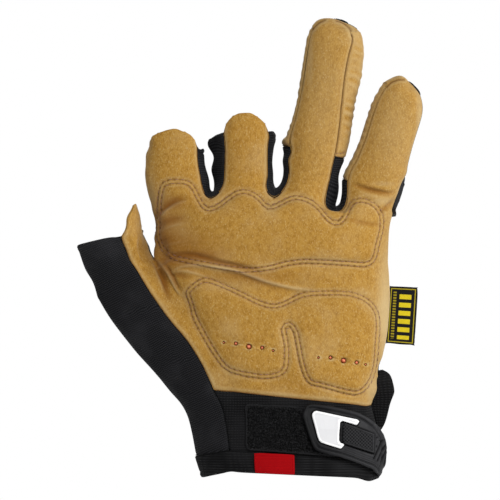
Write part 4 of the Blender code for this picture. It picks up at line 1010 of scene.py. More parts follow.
def sheltered(faces):
    """The share of faces that have something both in front of them and behind them."""
    hits = 0
    for face in faces:
        start = face.calc_center_median() + face.normal * 0.3 * MM
        ways = (Vector((0, -1, 0)), Vector((0, 1, 0)))
        hits += all(everything().ray_cast(start, way)[0] is not None for way in ways)
    return hits / len(faces)


def unrolled(shape, outer, inner, way):
    """Each vertex's place on the flat cloth, across and along the grain, with edges near their lengths."""
    shape.verts.index_update()
    count = len(shape.verts)
    square = np.eye(count) * HOLDING_WEIGHT
    sums = np.zeros((count, 2))
    for faces in (outer, inner):
        for edge in {edge for face in faces for edge in face.edges}:
            normal = sum((face.normal for face in edge.link_faces if face in faces), Vector()).normalized()
            along = way - normal * way.dot(normal)
            weight = along.length**2
            if weight < LEAST_WEIGHT:
                continue
            along.normalize()
            a, b = (vert.index for vert in edge.verts)
            step = edge.verts[1].co - edge.verts[0].co
            moves = np.array((step.dot(along.cross(normal)), step.dot(along))) * weight
            square[[a, b], [a, b]] += weight
            square[[a, b], [b, a]] -= weight
            sums[b] += moves
            sums[a] -= moves
    return np.linalg.solve(square, sums)


def object_of(data, name="rough"):
    """An object in the scene with the data given."""
    obj = bpy.data.objects.new(name, data)
    bpy.context.scene.collection.objects.link(obj)
    return obj


def modified(mesh, *modifiers):
    """A mesh with modifiers applied, each given as its type and a dictionary of its settings."""
    obj = object_of(mesh)
    for kind, settings in modifiers:
        modifier = obj.modifiers.new(kind.lower(), kind)
        for key, value in settings.items():
            setattr(modifier, key, value)
    graph = bpy.context.evaluated_depsgraph_get()
    seen = obj.evaluated_get(graph)
    made = bpy.data.meshes.new_from_object(seen, preserve_all_data_layers=True, depsgraph=graph)
    bpy.data.objects.remove(obj)
    bpy.data.meshes.remove(mesh)
    return made


def mesh_of(shape, name="rough"):
    """A new mesh with what a bmesh holds."""
    mesh = bpy.data.meshes.new(name)
    shape.to_mesh(mesh)
    return mesh


def subdivided(shape, levels):
    """A new mesh with the subdivision surface of a bmesh."""
    return modified(mesh_of(shape), ("SUBSURF", {"levels": levels, "render_levels": levels}))


def hold(shape):
    """Moves the points of a bmesh so that its subdivision surface passes where they were."""
    targets = np.array([vert.co for vert in shape.verts])
    for _ in range(HOLD_ROUNDS):
        mesh = subdivided(shape, 1)
        limits = places_of(mesh)[: len(targets)]
        bpy.data.meshes.remove(mesh)
        for vert, move in zip(shape.verts, targets - limits):
            vert.co += Vector(move)


def places_of(mesh):
    """The places of a mesh's vertices, one a row."""
    found = np.empty(len(mesh.vertices) * 3)
    mesh.vertices.foreach_get("co", found)
    return found.reshape(-1, 3)


def normals_of(mesh):
    """The ways that a mesh's vertices face, one a row."""
    found = np.empty(len(mesh.vertices) * 3)
    mesh.vertex_normals.foreach_get("vector", found)
    return found.reshape(-1, 3)


def numbers_of(mesh, name):
    """One number for each vertex, by its attribute's name."""
    found = np.empty(len(mesh.vertices))
    mesh.attributes[name].data.foreach_get("value", found)
    return found


def put_numbers(mesh, name, values):
    """Writes one number for each vertex as an attribute."""
    mesh.attributes.new(name, "FLOAT", "POINT").data.foreach_set("value", np.asarray(values, float))


def put_places(mesh, places):
    """Moves a mesh's vertices to places given one a row."""
    mesh.vertices.foreach_set("co", places.ravel())
    mesh.update()


def edges_of(mesh):
    """The two vertices of each edge, one edge a row."""
    found = np.empty(len(mesh.edges) * 2, int)
    mesh.edges.foreach_get("vertices", found)
    return found.reshape(-1, 2)


def tree_of(points):
    """A tree of points, for finding the nearest."""
    tree = KDTree(max(1, len(points)))
    for number, point in enumerate(points):
        tree.insert(point, number)
    tree.balance()
    return tree


def far_from(points, rim, limit):
    """The distance of each point to the nearest rim point, up to a limit."""
    if len(rim) == 0:
        return np.full(len(points), limit)
    tree = tree_of(rim)
    return np.array([min(limit, tree.find(point)[2]) for point in points])


def sheet_normals(mesh, outside):
    """Vertex normals that don't lean over the rim, because each sheet counts only its own faces."""
    count = len(mesh.polygons)
    starts, normals, areas = np.empty(count, int), np.empty(count * 3), np.empty(count)
    mesh.polygons.foreach_get("loop_start", starts)
    mesh.polygons.foreach_get("normal", normals)
    mesh.polygons.foreach_get("area", areas)
    corners = np.empty(len(mesh.loops), int)
    mesh.loops.foreach_get("vertex_index", corners)
    sides = outside[corners]
    low, high = np.minimum.reduceat(sides, starts), np.maximum.reduceat(sides, starts)
    owner = np.repeat(np.arange(count), np.diff(np.append(starts, len(corners))))
    weighted = normals.reshape(-1, 3) * areas[:, None] * ((low > ON_OUTER) | (high < ON_INNER))[:, None]
    sums = np.zeros((len(mesh.vertices), 3))
    np.add.at(sums, corners, weighted[owner])
    lengths = np.linalg.norm(sums, axis=1)
    return np.where(lengths[:, None] > 0, sums / np.maximum(lengths, 1e-20)[:, None], normals_of(mesh))


# Lines on the palm


def smooth_line(pixels, closed):
    """Points about a step apart on a smooth curve through pixels of the photograph."""
    points = spots(pixels)
    if not closed:
        points = np.vstack((2 * points[0] - points[1], points, 2 * points[-1] - points[-2]))
    fine = []
    for k in range(0 if closed else 1, len(points) - (0 if closed else 2)):
        a, b, c, d = (points[(k + shift) % len(points)] for shift in (-1, 0, 1, 2))
        for t in np.arange(0, 1, 0.125):
            cubic, square = 3 * b - a - 3 * c + d, 2 * a - 5 * b + 4 * c - d
            fine.append((cubic * t**3 + square * t**2 + (c - a) * t + 2 * b) / 2)
    if not closed:
        fine.append(points[-2])
    return even(np.array(fine), closed, LINE_STEP)


def even(line, closed, step):
    """The same line with its points an equal step apart."""
    path = np.vstack((line, line[:1])) if closed else line
    run = np.concatenate(([0], np.cumsum(np.hypot(*np.diff(path, axis=0).T))))
    count = max(3, round(run[-1] / step))
    wanted = np.linspace(0, run[-1], count + 1)[: count if closed else count + 1]
    return np.column_stack([np.interp(wanted, run, path[:, axis]) for axis in (0, 1)])


def shrunk(line, by):
    """A closed line moved inwards."""
    ahead = np.roll(line, -1, axis=0) - np.roll(line, 1, axis=0)
    side = np.column_stack((ahead[:, 1], -ahead[:, 0]))
    return line + side / np.maximum(np.hypot(*side.T), 1e-12)[:, None] * by


Track = namedtuple("Track", "away run side length")


def along_line(points, line, closed):
    """Each point's distance from a line in X and Z, its place along it, and its side."""
    best = np.full(len(points), np.inf)
    run, side = np.zeros(len(points)), np.zeros(len(points))
    start = 0.0
    for a, b in zip(line, np.roll(line, -1, axis=0) if closed else line[1:]):
        span = b - a
        step = float(np.hypot(*span))
        offset = points - a
        t = np.clip(offset @ span / step**2, 0, 1)
        away = np.hypot(*(offset - t[:, None] * span).T)
        near = away < best
        best[near], run[near] = away[near], start + t[near] * step
        side[near] = np.sign(span[0] * offset[near, 1] - span[1] * offset[near, 0])
        start += step
    return Track(best, run, side, start)


def inside(points, line):
    """Whether each point lies inside a closed line."""
    found = np.zeros(len(points), bool)
    for (ax, az), (bx, bz) in zip(line, np.roll(line, -1, axis=0)):
        if az != bz:
            crosses = (az > points[:, 1]) != (bz > points[:, 1])
            found ^= crosses & (points[:, 0] < (bx - ax) * (points[:, 1] - az) / (bz - az) + ax)
    return found


def bell(distance, width):
    """1 at no distance, and less on a soft curve of the given half width."""
    return np.exp(-((distance / width) ** 2))


def streak(away, strength, half, at=0.0):
    """A soft streak along a line, or at a distance from it."""
    return strength * bell(away - at, half)


def blob(points, centre, radii):
    """1 at a pixel, and less on a soft curve of two radii in pixels."""
    away = (points - spots([centre])) / (np.array(radii) * PIXEL)
    return np.exp(-(away**2).sum(axis=1))


def soft_step(value, low, high):
    """0 below low and 1 above high, with soft ends."""
    t = np.clip((value - low) / (high - low), 0, 1)
    return t * t * (3 - 2 * t)


def rolling(points, size, seed):
    """Smooth noise from -1 to 1 with bumps of about the given size."""
    shift = Vector((seed, seed * 0.7, -seed))
    return np.array([noise.noise(Vector(point) / size + shift) for point in points])


@cache
def stitch_rows():
    """The stitched rows on the palm, each closed, with the outer row of a pad before its inner row."""
    rows = []
    for outline in (KNUCKLE_PAD, HEEL_PAD):
        outer = smooth_line(outline, True)
        rows += [outer, even(shrunk(outer, ROW_SPACING), True, LINE_STEP)]
    return rows


Relief = namedtuple("Relief", "rise sink dark worn shade")


def palm_relief(points):
    """The palm's leather at places in X and Z: its rise, how far the whole wall sinks in the folds, the
    painted shade in its grooves, where it is worn and lightened by painted highlight, and its painted shade
    in folds."""
    size = sizes()
    rise, sink, dark, worn, shade = np.zeros((5, len(points)))
    for number, row in enumerate(stitch_rows()):
        track = along_line(points, row, True)
        if number % 2 == 0:
            within = inside(points, row)
            deep = np.where(within, track.away, 0)
            rise += size.pad_height * soft_step(deep, *PAD_SHOULDER) * within
            rise -= PAD_FOOT[0] * bell(track.away, PAD_FOOT[1]) * ~within
        count = round(track.length / size.stitch_pitch)
        phase = np.abs((track.run / track.length * count + 0.5) % 1 - 0.5) * track.length / count
        hole = bell(track.away, NEEDLE_HOLE[0]) * bell(phase, NEEDLE_HOLE[1])
        rise -= size.row_depth * (bell(track.away, ROW_HALF) + HOLE_DEEPER * hole)
        dark = np.maximum(dark, np.maximum(streak(track.away, *ROW_DARK), HOLE_DARK * hole))
        worn = np.maximum(worn, streak(track.away, *ROW_WORN))
    for fold in FOLDS:
        track = along_line(points, smooth_line(fold.line, False), False)
        ends = np.sin(math.pi * np.clip(track.run / track.length, 0, 1)) ** FOLD_TAPER
        over = np.abs(track.away - fold.width * RIDGE_BESIDE[0] * MM)
        ridge = bell(over, fold.width * RIDGE_BESIDE[1] * MM) * (track.side * fold.side > 0)
        sink -= fold.depth * MM * ends * bell(track.away, fold.width * MM)
        sink += fold.ridge * MM * ends * ridge
        # Painted shade in the fold's valley
        strength, wider = FOLD_SHADE
        shade = np.maximum(shade, strength * fold.shade * ends * bell(track.away, fold.width * wider * MM))
        # A ridge's top is lightened with painted highlight
        if fold.depth < 0:
            strength, wider = RIDGE_HIGHLIGHT
            top = bell(track.away, fold.width * wider * MM)
            worn = np.maximum(worn, -strength * fold.depth * ends * top)
    for line in TIP_SEAMS:
        away = along_line(points, smooth_line(line, False), False).away
        rise -= streak(away, *TIP_SEAM_CUT)
        dark = np.maximum(dark, streak(away, *TIP_SEAM_DARK))
        worn = np.maximum(worn, streak(away, *TIP_SEAM_WORN))
    # Patches of painted shade, and of painted highlight where the strength is below 0
    for centre, radii, strength in SHADE_AND_HIGHLIGHT_PATCHES:
        near = blob(points, centre, radii)
        shade += max(strength, 0) * near * (1 - shade)
        worn = np.maximum(worn, -strength * near)
    return Relief(rise + sink, np.minimum(sink, 0), dark, np.clip(worn, 0, 1), np.clip(shade, 0, 1))


# The settling of the crotches


@cache
def settle_weights(rows, reach):
    """The places of the rows in X and Z, and the weight of each one's pull."""
    starts, ends = (spots([row[k] for row in rows]) for k in (0, 1))
    away = np.linalg.norm(starts[:, None] - starts[None], axis=2) / (reach * PIXEL)
    return starts, np.linalg.solve(np.exp(-(away**2)) + SETTLE_EASE * np.eye(len(rows)), ends - starts)


def pulled(places, rows, reach=SETTLE_REACH):
    """How far the rows move places in X and Z."""
    starts, weights = settle_weights(rows, reach)
    away = np.linalg.norm(places[:, None, (0, 2)] - starts[None], axis=2) / (reach * PIXEL)
    return np.exp(-(away**2)) @ weights


def settled(places):
    """Places of the glove after its cloth has settled."""
    moved = places.copy()
    back = soft_step(places[:, 1], *BACK_STARTS)[:, None]
    moved[:, (0, 2)] += pulled(places, PALM_SETTLES) * (1 - back) + pulled(places, BACK_SETTLES) * back
    moved[:, (0, 2)] += pulled(places, TIP_SETTLES + FLAP_SETTLES)
    moved[:, (0, 2)] += pulled(moved, EDGE_SETTLES, EDGE_REACH)
    return moved


# Sewn panels


class Panel:
    """A panel of the glove as a fine mesh that knows its outer sheet, its rims and its cloth's grain."""

    def __init__(self, name, wall):
        self.name, self.wall = name, wall
        shape = merged(name)
        if name == "palm_leather":
            plug_holes(shape)
        outer, inner = sheets(shape, wall.thickness)
        self.mark(shape, outer, inner)
        hold(shape)
        self.mesh = subdivided(shape, wall.levels)
        shape.free()
        if name == "palm_leather":
            self.refine()
        self.find_rims()
        self.sewn = np.zeros(len(self.rim), bool)

    def mark(self, shape, outer, inner):
        """Sets the creases, and writes which vertices are outside and where they lie on the cloth."""
        cloth = unrolled(shape, outer, inner, Vector(self.wall.grain).normalized())
        crease = shape.edges.layers.float.new("crease_edge")
        corner = shape.verts.layers.float.new("crease_vert")
        side = shape.verts.layers.float.new("outside")
        weave = shape.verts.layers.float_vector.new("weave")
        walls = outer | inner
        for edge in shape.edges:
            if len({face in walls for face in edge.link_faces}) == 2:
                edge[crease] = RIM_CREASE
        for face in outer:
            for vert in face.verts:
                vert[side] = 1.0
        for vert in shape.verts:
            vert[weave] = (*cloth[vert.index], 0.0)
            rims = [edge for edge in vert.link_edges if edge[crease] > 0]
            if len(rims) == 2:
                one, two = (edge.other_vert(vert).co - vert.co for edge in rims)
                if CORNER_TURNS[0] < math.pi - one.angle(two, math.pi) < CORNER_TURNS[1]:
                    vert[corner] = 1.0

    def refine(self):
        """Splits the outer sheet of the palm where its stitching runs, and thins the hidden inner one."""
        places = places_of(self.mesh)
        near = np.full(len(places), np.inf)
        for row in stitch_rows():
            near = np.minimum(near, along_line(places[:, (0, 2)], row, True).away)
        outside = numbers_of(self.mesh, "outside")
        near = (near < STITCHING_NEAR) & (outside > ON_OUTER)
        shape = bmesh.new()
        shape.from_mesh(self.mesh)
        edges = [edge for edge in shape.edges if all(near[vert.index] for vert in edge.verts)]
        bmesh.ops.subdivide_edges(shape, edges=edges, cuts=1, smooth=1.0, use_grid_fill=True)
        side = shape.verts.layers.float["outside"]
        hidden = [vert for vert in shape.verts if vert[side] < ON_INNER]
        bmesh.ops.unsubdivide(shape, verts=hidden, iterations=4)
        shape.to_mesh(self.mesh)
        shape.free()

    def find_rims(self):
        """Finds the last vertices of the outer and of the inner sheet before the rim."""
        outside = numbers_of(self.mesh, "outside")
        edges = edges_of(self.mesh)
        low, high = outside[edges].min(axis=1), outside[edges].max(axis=1)
        pairs = edges[(high > ON_OUTER) & (low < ON_OUTER)]
        self.rim = np.unique(np.where(outside[pairs] > ON_OUTER, pairs, -1).max(axis=1))
        pairs = edges[(low < ON_INNER) & (high > ON_INNER)]
        self.inner_rim = np.unique(np.where(outside[pairs] < ON_INNER, pairs, -1).max(axis=1))

    def shape_edges(self, fold_reach, hem_width, hem_height):
        """Turns the sewn edges in, and rolls the open ones into a hem with a stitch line behind it."""
        places = places_of(self.mesh)
        out = numbers_of(self.mesh, "outside") > ON_OUTER
        to_seam, to_rim = np.full(len(places), RIM_FAR), np.full(len(places), RIM_FAR)
        to_seam[out] = far_from(places[out], places[self.rim[self.sewn]], RIM_FAR)
        to_rim[out] = far_from(places[out], places[self.rim[~self.sewn]], RIM_FAR)
        turn = 1 - np.clip(to_seam / fold_reach, 0, 1)
        rise = -sizes().seam_depth * (1 - np.sqrt(1 - turn**2))
        rise += hem_height * np.sin(math.pi * np.clip(to_rim / hem_width, 0, 1))
        depth, beside, half = HEM_STITCH
        rise -= depth * hem_height * bell(to_rim - hem_width * beside, half)
        self.to_seam, self.to_rim = to_seam, to_rim
        hidden = np.min([np.hypot(*(places[:, (0, 2)] - spot).T) for spot in spots(HIDDEN_SEAMS)], axis=0)
        shown = soft_step(hidden, 0.6 * HIDDEN_SEAM_REACH * PIXEL, HIDDEN_SEAM_REACH * PIXEL)
        self.to_seam = np.where(self.name in LEATHERS, to_seam + (1 - shown) * RIM_FAR, to_seam)
        self.lift(rise * shown)

    def lift(self, rise, sink=0.0):
        """Moves the outer sheet out by a height for each vertex, and both inwards where the wall sinks."""
        outside = numbers_of(self.mesh, "outside")
        normals = sheet_normals(self.mesh, outside)
        moves = rise * (outside > ON_OUTER) - sink * (outside < ON_INNER)
        put_places(self.mesh, places_of(self.mesh) + normals * moves[:, None])

    def swell(self, amount, size, seed):
        """Gives the panel the slow rise and fall of worn cloth, and less of it at the rims."""
        places = places_of(self.mesh)
        ease = soft_step(np.minimum(self.to_seam, self.to_rim), *SWELL_STARTS)
        share, smaller = SECOND_WAVE
        wave = rolling(places, size, seed) + share * rolling(places, size * smaller, seed + 7)
        self.lift(wave * amount * ease)


@cache
def sewn_panels():
    """The sewn panels by name, closed up against each other along their seams."""
    panels = {name: Panel(name, wall) for name, wall in SEWN.items()}
    close_seams(panels, "inner_rim")
    close_seams(panels, "rim")
    for name, panel in panels.items():
        if name in LEATHERS:
            panel.shape_edges(fold_reach=1.5 * MM, hem_width=1.7 * MM, hem_height=0.15 * MM)
        else:
            panel.shape_edges(fold_reach=1.5 * MM, hem_width=2.2 * MM, hem_height=sizes().hem_height)
    close_seams(panels, "rim")
    for panel in panels.values():
        put_places(panel.mesh, settled(places_of(panel.mesh)))
    return panels


def close_seams(panels, which):
    """Moves the rims that face each other across a seam half way to each other."""
    rims = {name: places_of(panel.mesh)[getattr(panel, which)] for name, panel in panels.items()}
    moved = {}
    for name, panel in panels.items():
        tree = tree_of(np.concatenate([rims[other] for other in panels if other != name]))
        places, sewn = places_of(panel.mesh), []
        for index in getattr(panel, which):
            found, _, far = tree.find(places[index])
            sewn.append(far < SEAM_NEAR)
            if far < SEAM_NEAR:
                places[index] = (places[index] + np.array(found)) / 2
        moved[name] = places
        if which == "rim":
            panel.sewn = np.array(sewn)
    for name, panel in panels.items():
        put_places(panel.mesh, moved[name])


def finish_piece(mesh, name, node, material, slot=None):
    """Makes a piece of the glove that stands for a node, or goes with the nodes that are there."""
    mesh.materials.clear()
    mesh.materials.append(material)
    mesh.shade_smooth()
    mesh.name = name
    piece = object_of(mesh, name)
    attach(piece, BODY)
    if slot:
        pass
    else:
        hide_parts(node)
    return piece


def around(points, hole):
    """How far places in X and Z are from a perforation's centre."""
    return np.hypot(*(points - spots([(hole.across, hole.down)])).T)


def smooth_plugs(mesh):
    """Irons out the leather where its perforations were filled."""
    flat = places_of(mesh)[:, (0, 2)]
    near = np.min([around(flat, hole) for hole in PERFORATIONS], axis=0) < IRONED_REACH
    shape = bmesh.new()
    shape.from_mesh(mesh)
    verts = [vert for vert in shape.verts if near[vert.index]]
    every_axis = {"use_axis_x": True, "use_axis_y": True, "use_axis_z": True}
    for _ in range(IRONED_ROUNDS):
        bmesh.ops.smooth_vert(shape, verts=verts, factor=0.5, **every_axis)
    shape.to_mesh(mesh)
    shape.free()


def cut_holes(mesh):
    """Cuts the perforations through the leather."""
    shape = bmesh.new()
    for hole in PERFORATIONS:
        x, z = spots([(hole.across, hole.down)])[0]
        bmesh.ops.create_cone(
            shape,
            cap_ends=True,
            segments=24,
            radius1=hole.radius * MM,
            radius2=hole.radius * MM,
            depth=PUNCH_LENGTH,
            matrix=Matrix.Translation((x, PUNCH_DEPTH, z)) @ Matrix.Rotation(math.pi / 2, 4, "X"),
        )
    punch = object_of(mesh_of(shape, "punch"), "punch")
    shape.free()
    mesh = modified(mesh, ("BOOLEAN", {"operation": "DIFFERENCE", "solver": "EXACT", "object": punch}))
    bpy.data.objects.remove(punch)
    return mesh


def seam_look(panel, flat):
    """The painted shade along a leather panel's seam line, and how worn it is beside it."""
    centre, radii, gone = FAINT_SEAM
    dark = bell(panel.to_seam, SEAM_LINE) * (1 - gone * blob(flat, centre, radii))
    return dark, streak(panel.to_seam, *SEAM_WORN)


def dress_palm(panel, places):
    """Shapes the pads, rows and folds of the palm. Gives its painted groove shade, its wear with painted
    highlight, and its painted fold shade.
    """
    flat = places[:, (0, 2)]
    dark, worn = seam_look(panel, flat)
    relief = palm_relief(flat)
    panel.lift(relief.rise, relief.sink)
    dark, worn = np.maximum(dark, relief.dark), np.maximum(worn, relief.worn)
    for hole in PERFORATIONS:
        worn = np.maximum(worn, streak(around(flat, hole) - hole.radius * MM, *HOLE_WORN))
    return dark, worn, relief.shade


def dress_sidewall(panel, places):
    """Shapes a sidewall's ripples and the rows across its end. Gives its painted groove shade, its wear with
    painted highlight, and no fold shade.
    """
    flat = places[:, (0, 2)]
    dark, worn = seam_look(panel, flat)
    run = places @ np.array(RIPPLE_WAY) / RIPPLE_PITCH
    wave = np.sin(run * 2 * math.pi + 3 * rolling(places, size=9 * MM, seed=4.0))
    wave *= np.clip(0.7 + 2.2 * rolling(places, size=11 * MM, seed=9.0), 0, 1.6)
    ease = soft_step(panel.to_seam, 0.3 * MM, 2 * MM)
    panel.lift(RIPPLE_RISE * wave * ease)
    # Painted highlight on the ripples' crests, over the walls' wear
    worn = np.maximum(worn, SIDEWALL_WEAR_AND_HIGHLIGHT[panel.name] + 0.26 * wave * ease)
    for line in CROSS_ROWS:
        away = along_line(flat, spots(line), False).away
        panel.lift(-streak(away, *CROSS_ROW_CUT))
        dark = np.maximum(dark, streak(away, *CROSS_ROW_DARK))
    return dark, worn, np.zeros(len(places))


def make_leather():
    """The palm with its pads, folds and perforations, and the rippled sidewalls of the two full fingers."""
    panels = sewn_panels()
    smooth_plugs(panels["palm_leather"].mesh)
    for seed, name in enumerate(LEATHERS):
        panel = panels[name]
        panel.swell(amount=sizes().ripple, size=11 * MM, seed=seed * 3.1)
        dress = dress_palm if name == "palm_leather" else dress_sidewall
        looks = dress(panel, places_of(panel.mesh))
        for look, values in zip(("groove", "worn", "shade"), looks):
            put_numbers(panel.mesh, look, values)
        if name == "palm_leather":
            panel.mesh = cut_holes(panel.mesh)
        finish_piece(panel.mesh, name + "_suede", name, suede())


def make_knits():
    """The back, the thumb and the gussets between the fingers."""
    for seed, name in enumerate(KNITS):
        panel = sewn_panels()[name]
        panel.swell(amount=0.30 * MM, size=14 * MM, seed=20 + seed * 2.3)
        finish_piece(panel.mesh, name + "_knit", name, knit())


def make_cuff():
    """The cuff and its hem, and what is sewn on them."""
    for seed, name in enumerate(("cuff_front", "cuff_hem")):
        panel = sewn_panels()[name]
        panel.swell(amount=0.22 * MM, size=12 * MM, seed=50 + seed * 2.3)
        finish_piece(panel.mesh, name + "_rib", name, rib())
    cloths = {"closure_strap": rib(), "cuff_flap": rib(), "loop_patch": pile(), "pull_loop": tape()}
    for name, material in cloths.items():
        panel = Panel(name, LAID[name])
        hem = 0.03 * MM if name == "pull_loop" else 0.12 * MM
        panel.shape_edges(fold_reach=1.0 * MM, hem_width=1.2 * MM, hem_height=hem)
        put_places(panel.mesh, settled(places_of(panel.mesh)))
        if name == "pull_loop":
            seam = along_line(places_of(panel.mesh)[:, (0, 2)], spots(LOOP_SEAM), False).away
            panel.lift(-streak(seam, *LOOP_SEAM_CUT))
        if name == "loop_patch":
            put_numbers(panel.mesh, "from_edge", panel.to_rim)
            add_pile(panel)
        finish_piece(panel.mesh, name + "_cloth", name, material)


def add_pile(panel):
    """Sews short leaning strands all over the front of the patch, joined with its mesh."""
    shape = bmesh.new()
    shape.from_mesh(panel.mesh)
    layer = shape.verts.layers.float["from_edge"]
    chance = np.random.default_rng(PILE_SEED)
    front = [face for face in shape.faces if face.normal.y < -0.3]
    faces = [face for face in front if min(vert[layer] for vert in face.verts) > PILE_MARGIN]
    areas = np.array([face.calc_area() for face in faces])
    count = round(areas.sum() * SQUARE_CENTIMETRES * sizes().strands)
    for number in chance.choice(len(faces), count, p=areas / areas.sum()):
        face = faces[number]
        shares = chance.dirichlet(np.ones(len(face.verts)))
        foot = sum((vert.co * share for vert, share in zip(face.verts, shares)), Vector())
        lean = Vector(chance.normal(0, STRAND_LEAN, 3))
        way = (face.normal + lean).normalized()
        height = chance.uniform(*STRAND_HEIGHTS) * MM
        turn = way.to_track_quat("Z", "Y").to_matrix().to_4x4()
        bmesh.ops.create_cone(
            shape,
            segments=3,
            radius1=STRAND_RADII[0],
            radius2=STRAND_RADII[1],
            depth=height,
            matrix=Matrix.Translation(foot + way * height * 0.4) @ turn,
        )
    for vert in shape.verts[len(panel.to_rim):]:
        vert[layer] = 10 * MM
    shape.to_mesh(panel.mesh)
    shape.free()


def make_label():
    """The woven label, straightened to its corners, with each point's place across and along it."""
    panel = Panel("side_label", LAID["side_label"])
    places = places_of(panel.mesh)
    x, z = places[:, 0], places[:, 2]
    (left_top, right_top, right_foot, left_foot) = spots(LABEL_CORNERS)
    down = (z.max() - z) / np.ptp(z)
    levels = np.linspace(0, 1, LABEL_LEVELS)
    near = np.abs(down[:, None] - levels[None]) < LEVEL_NEAR
    lefts = np.array([x[column].min() for column in near.T])
    rights = np.array([x[column].max() for column in near.T])
    left, right = np.interp(down, levels, lefts), np.interp(down, levels, rights)
    across = ((x - left) / (right - left))[:, None]
    down = down[:, None]
    top, foot = left_top + (right_top - left_top) * across, left_foot + (right_foot - left_foot) * across
    places[:, (0, 2)] = top + (foot - top) * down
    put_places(panel.mesh, places)
    for name, share, size in (
        ("across", across, np.linalg.norm(right_top - left_top)),
        ("along", down, np.linalg.norm(left_foot - left_top)),
    ):
        put_numbers(panel.mesh, name, share.ravel() * size)
        put_numbers(panel.mesh, name + "_edge", np.minimum(share, 1 - share).ravel() * size)
    finish_piece(panel.mesh, "side_label_cloth", "side_label", label_cloth())


def panel_tree(names):
    """A tree of the named panels, for finding their surface."""
    points, faces = [], []
    for name in names:
        mesh, start = sewn_panels()[name].mesh, len(points)
        points += [vert.co.copy() for vert in mesh.vertices]
        faces += [[start + index for index in face.vertices] for face in mesh.polygons]
    return BVHTree.FromPolygons(points, faces)


def front_at(tree, x, z):
    """The front of the leather at a place in X and Z, and the way it faces."""
    place, normal, *_ = tree.ray_cast(Vector((x, IN_FRONT, z)), Vector((0, 1, 0)))
    return place, normal


def seat_on_cloth(panel, tree):
    """Lays the back of a tip guard on the cloth under it, with a thinner rim."""
    places = places_of(panel.mesh)
    outside = numbers_of(panel.mesh, "outside")
    full = soft_step(far_from(places, places[panel.rim], RIM_FAR), 0, GUARD_SHOULDER)
    for index, place in enumerate(map(Vector, places)):
        foot, normal, *_ = tree.find_nearest(place)
        way = place - foot
        way = way.normalized() if way.dot(normal) > 0 else normal
        height = GUARD_GAP + outside[index] * (GUARD_RIM + GUARD_CROWN * full[index])
        places[index] = place.lerp(foot + way * height, soft_step(normal.y, *GUARD_FACES))
    put_places(panel.mesh, places)


def add_lip(mesh, line, tree):
    """The end of a tip guard that goes over the fingertip, and shows from the palm side as a thin line."""
    shape = bmesh.new()
    shape.from_mesh(mesh)
    verts = bmesh.ops.create_grid(shape, x_segments=24, y_segments=8, size=0.5)["verts"]
    faces = {face for vert in verts for face in vert.link_faces}
    path = smooth_line(line, False)
    steps = np.linspace(-0.5, 0.5, len(path))
    for vert in verts:
        along, back = vert.co.x, vert.co.y + 0.5
        x, z = (np.interp(along, steps, path[:, axis]) for axis in (0, 1))
        edge = min(np.arange(*LIP_DEPTHS) * MM, key=lambda y: tree.find_nearest(Vector((x, y, z)))[3])
        foot, normal, *_ = tree.find_nearest(Vector((x, edge + LIP_START + LIP_REACH * back, z)))
        vert.co = foot + normal * (GUARD_GAP + LIP_CROWN * math.sqrt(max(math.cos(math.pi * along), 0)))
    bmesh.ops.solidify(shape, geom=list(faces), thickness=LIP_WALL)
    shape.to_mesh(mesh)
    shape.free()


def make_guards():
    """The moulded guards on the little finger's edge and on the two full fingertips."""
    cloth = panel_tree(("back_fabric", *LEATHERS))
    for name in ("little_guard", "ring_tip_guard", "little_tip_guard"):
        panel = Panel(name, LAID[name])
        panel.shape_edges(fold_reach=1.0 * MM, hem_width=1.2 * MM, hem_height=0.15 * MM)
        places = places_of(panel.mesh)
        if name == "little_guard":
            put_places(panel.mesh, settled(places))
        else:
            places[:, (0, 2)] += pulled(places, GUARD_SETTLES, EDGE_REACH)
            put_places(panel.mesh, places)
            seat_on_cloth(panel, cloth)
            add_lip(panel.mesh, GUARD_LIPS[name], cloth)
        put_numbers(panel.mesh, "groove", np.zeros(len(panel.mesh.vertices)))
        finish_piece(panel.mesh, name + "_moulding", name, rubber())


def make_foam():
    """The foam behind the perforations, which swells into each hole."""
    tree = panel_tree(("palm_leather",))
    for name in ("heel_foam_inner", "heel_foam_outer"):
        low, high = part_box(name)
        shape = bmesh.new()
        shape.from_mesh(Panel(name, LAID[name]).mesh)
        for hole in PERFORATIONS:
            x, z = spots([(hole.across, hole.down)])[0]
            if not low[0] < x < high[0]:
                continue
            beside = [front_at(tree, x + side * (hole.radius + 0.5) * MM, z)[0].y for side in (-1, 1)]
            front = sum(beside) / 2 + DOME_BACK
            radius = hole.radius * DOME_SHARE * MM
            bmesh.ops.create_uvsphere(
                shape,
                u_segments=16,
                v_segments=10,
                radius=1.0,
                matrix=Matrix.Translation((x, front + DOME_DEPTH, z))
                @ Matrix.Diagonal((radius, DOME_DEPTH, radius, 1)),
            )
        finish_piece(mesh_of(shape), name + "_pad", name, foam())
        shape.free()


# The wrist tab


def cast(name, voxel, passes):
    """A node's solid as one even skin with its edges rounded."""
    shape = merged(name)
    mesh = mesh_of(shape)
    shape.free()
    return modified(
        mesh,
        ("REMESH", {"mode": "VOXEL", "voxel_size": voxel}),
        ("SMOOTH", {"factor": 0.5, "iterations": passes}),
    )


def raised(mesh, rise):
    """Lifts the front of a moulding by a height given for each vertex."""
    normals = normals_of(mesh)
    front = soft_step(-normals[:, 1], *FRONT_FROM)
    put_places(mesh, places_of(mesh) + normals * (rise * front)[:, None])


def put_grooves(mesh, dark):
    """Writes the painted shade in the cuts on the front of a moulding, and leaves its back plain."""
    put_numbers(mesh, "groove", dark * (normals_of(mesh)[:, 1] < BACK_FROM))


def tab_part(name, voxel, passes):
    """A part of the tab as one skin, settled towards its outline."""
    mesh = cast(name, voxel, passes)
    places = places_of(mesh)
    places[:, (0, 2)] += pulled(places, TAB_SETTLES)
    put_places(mesh, places)
    return mesh


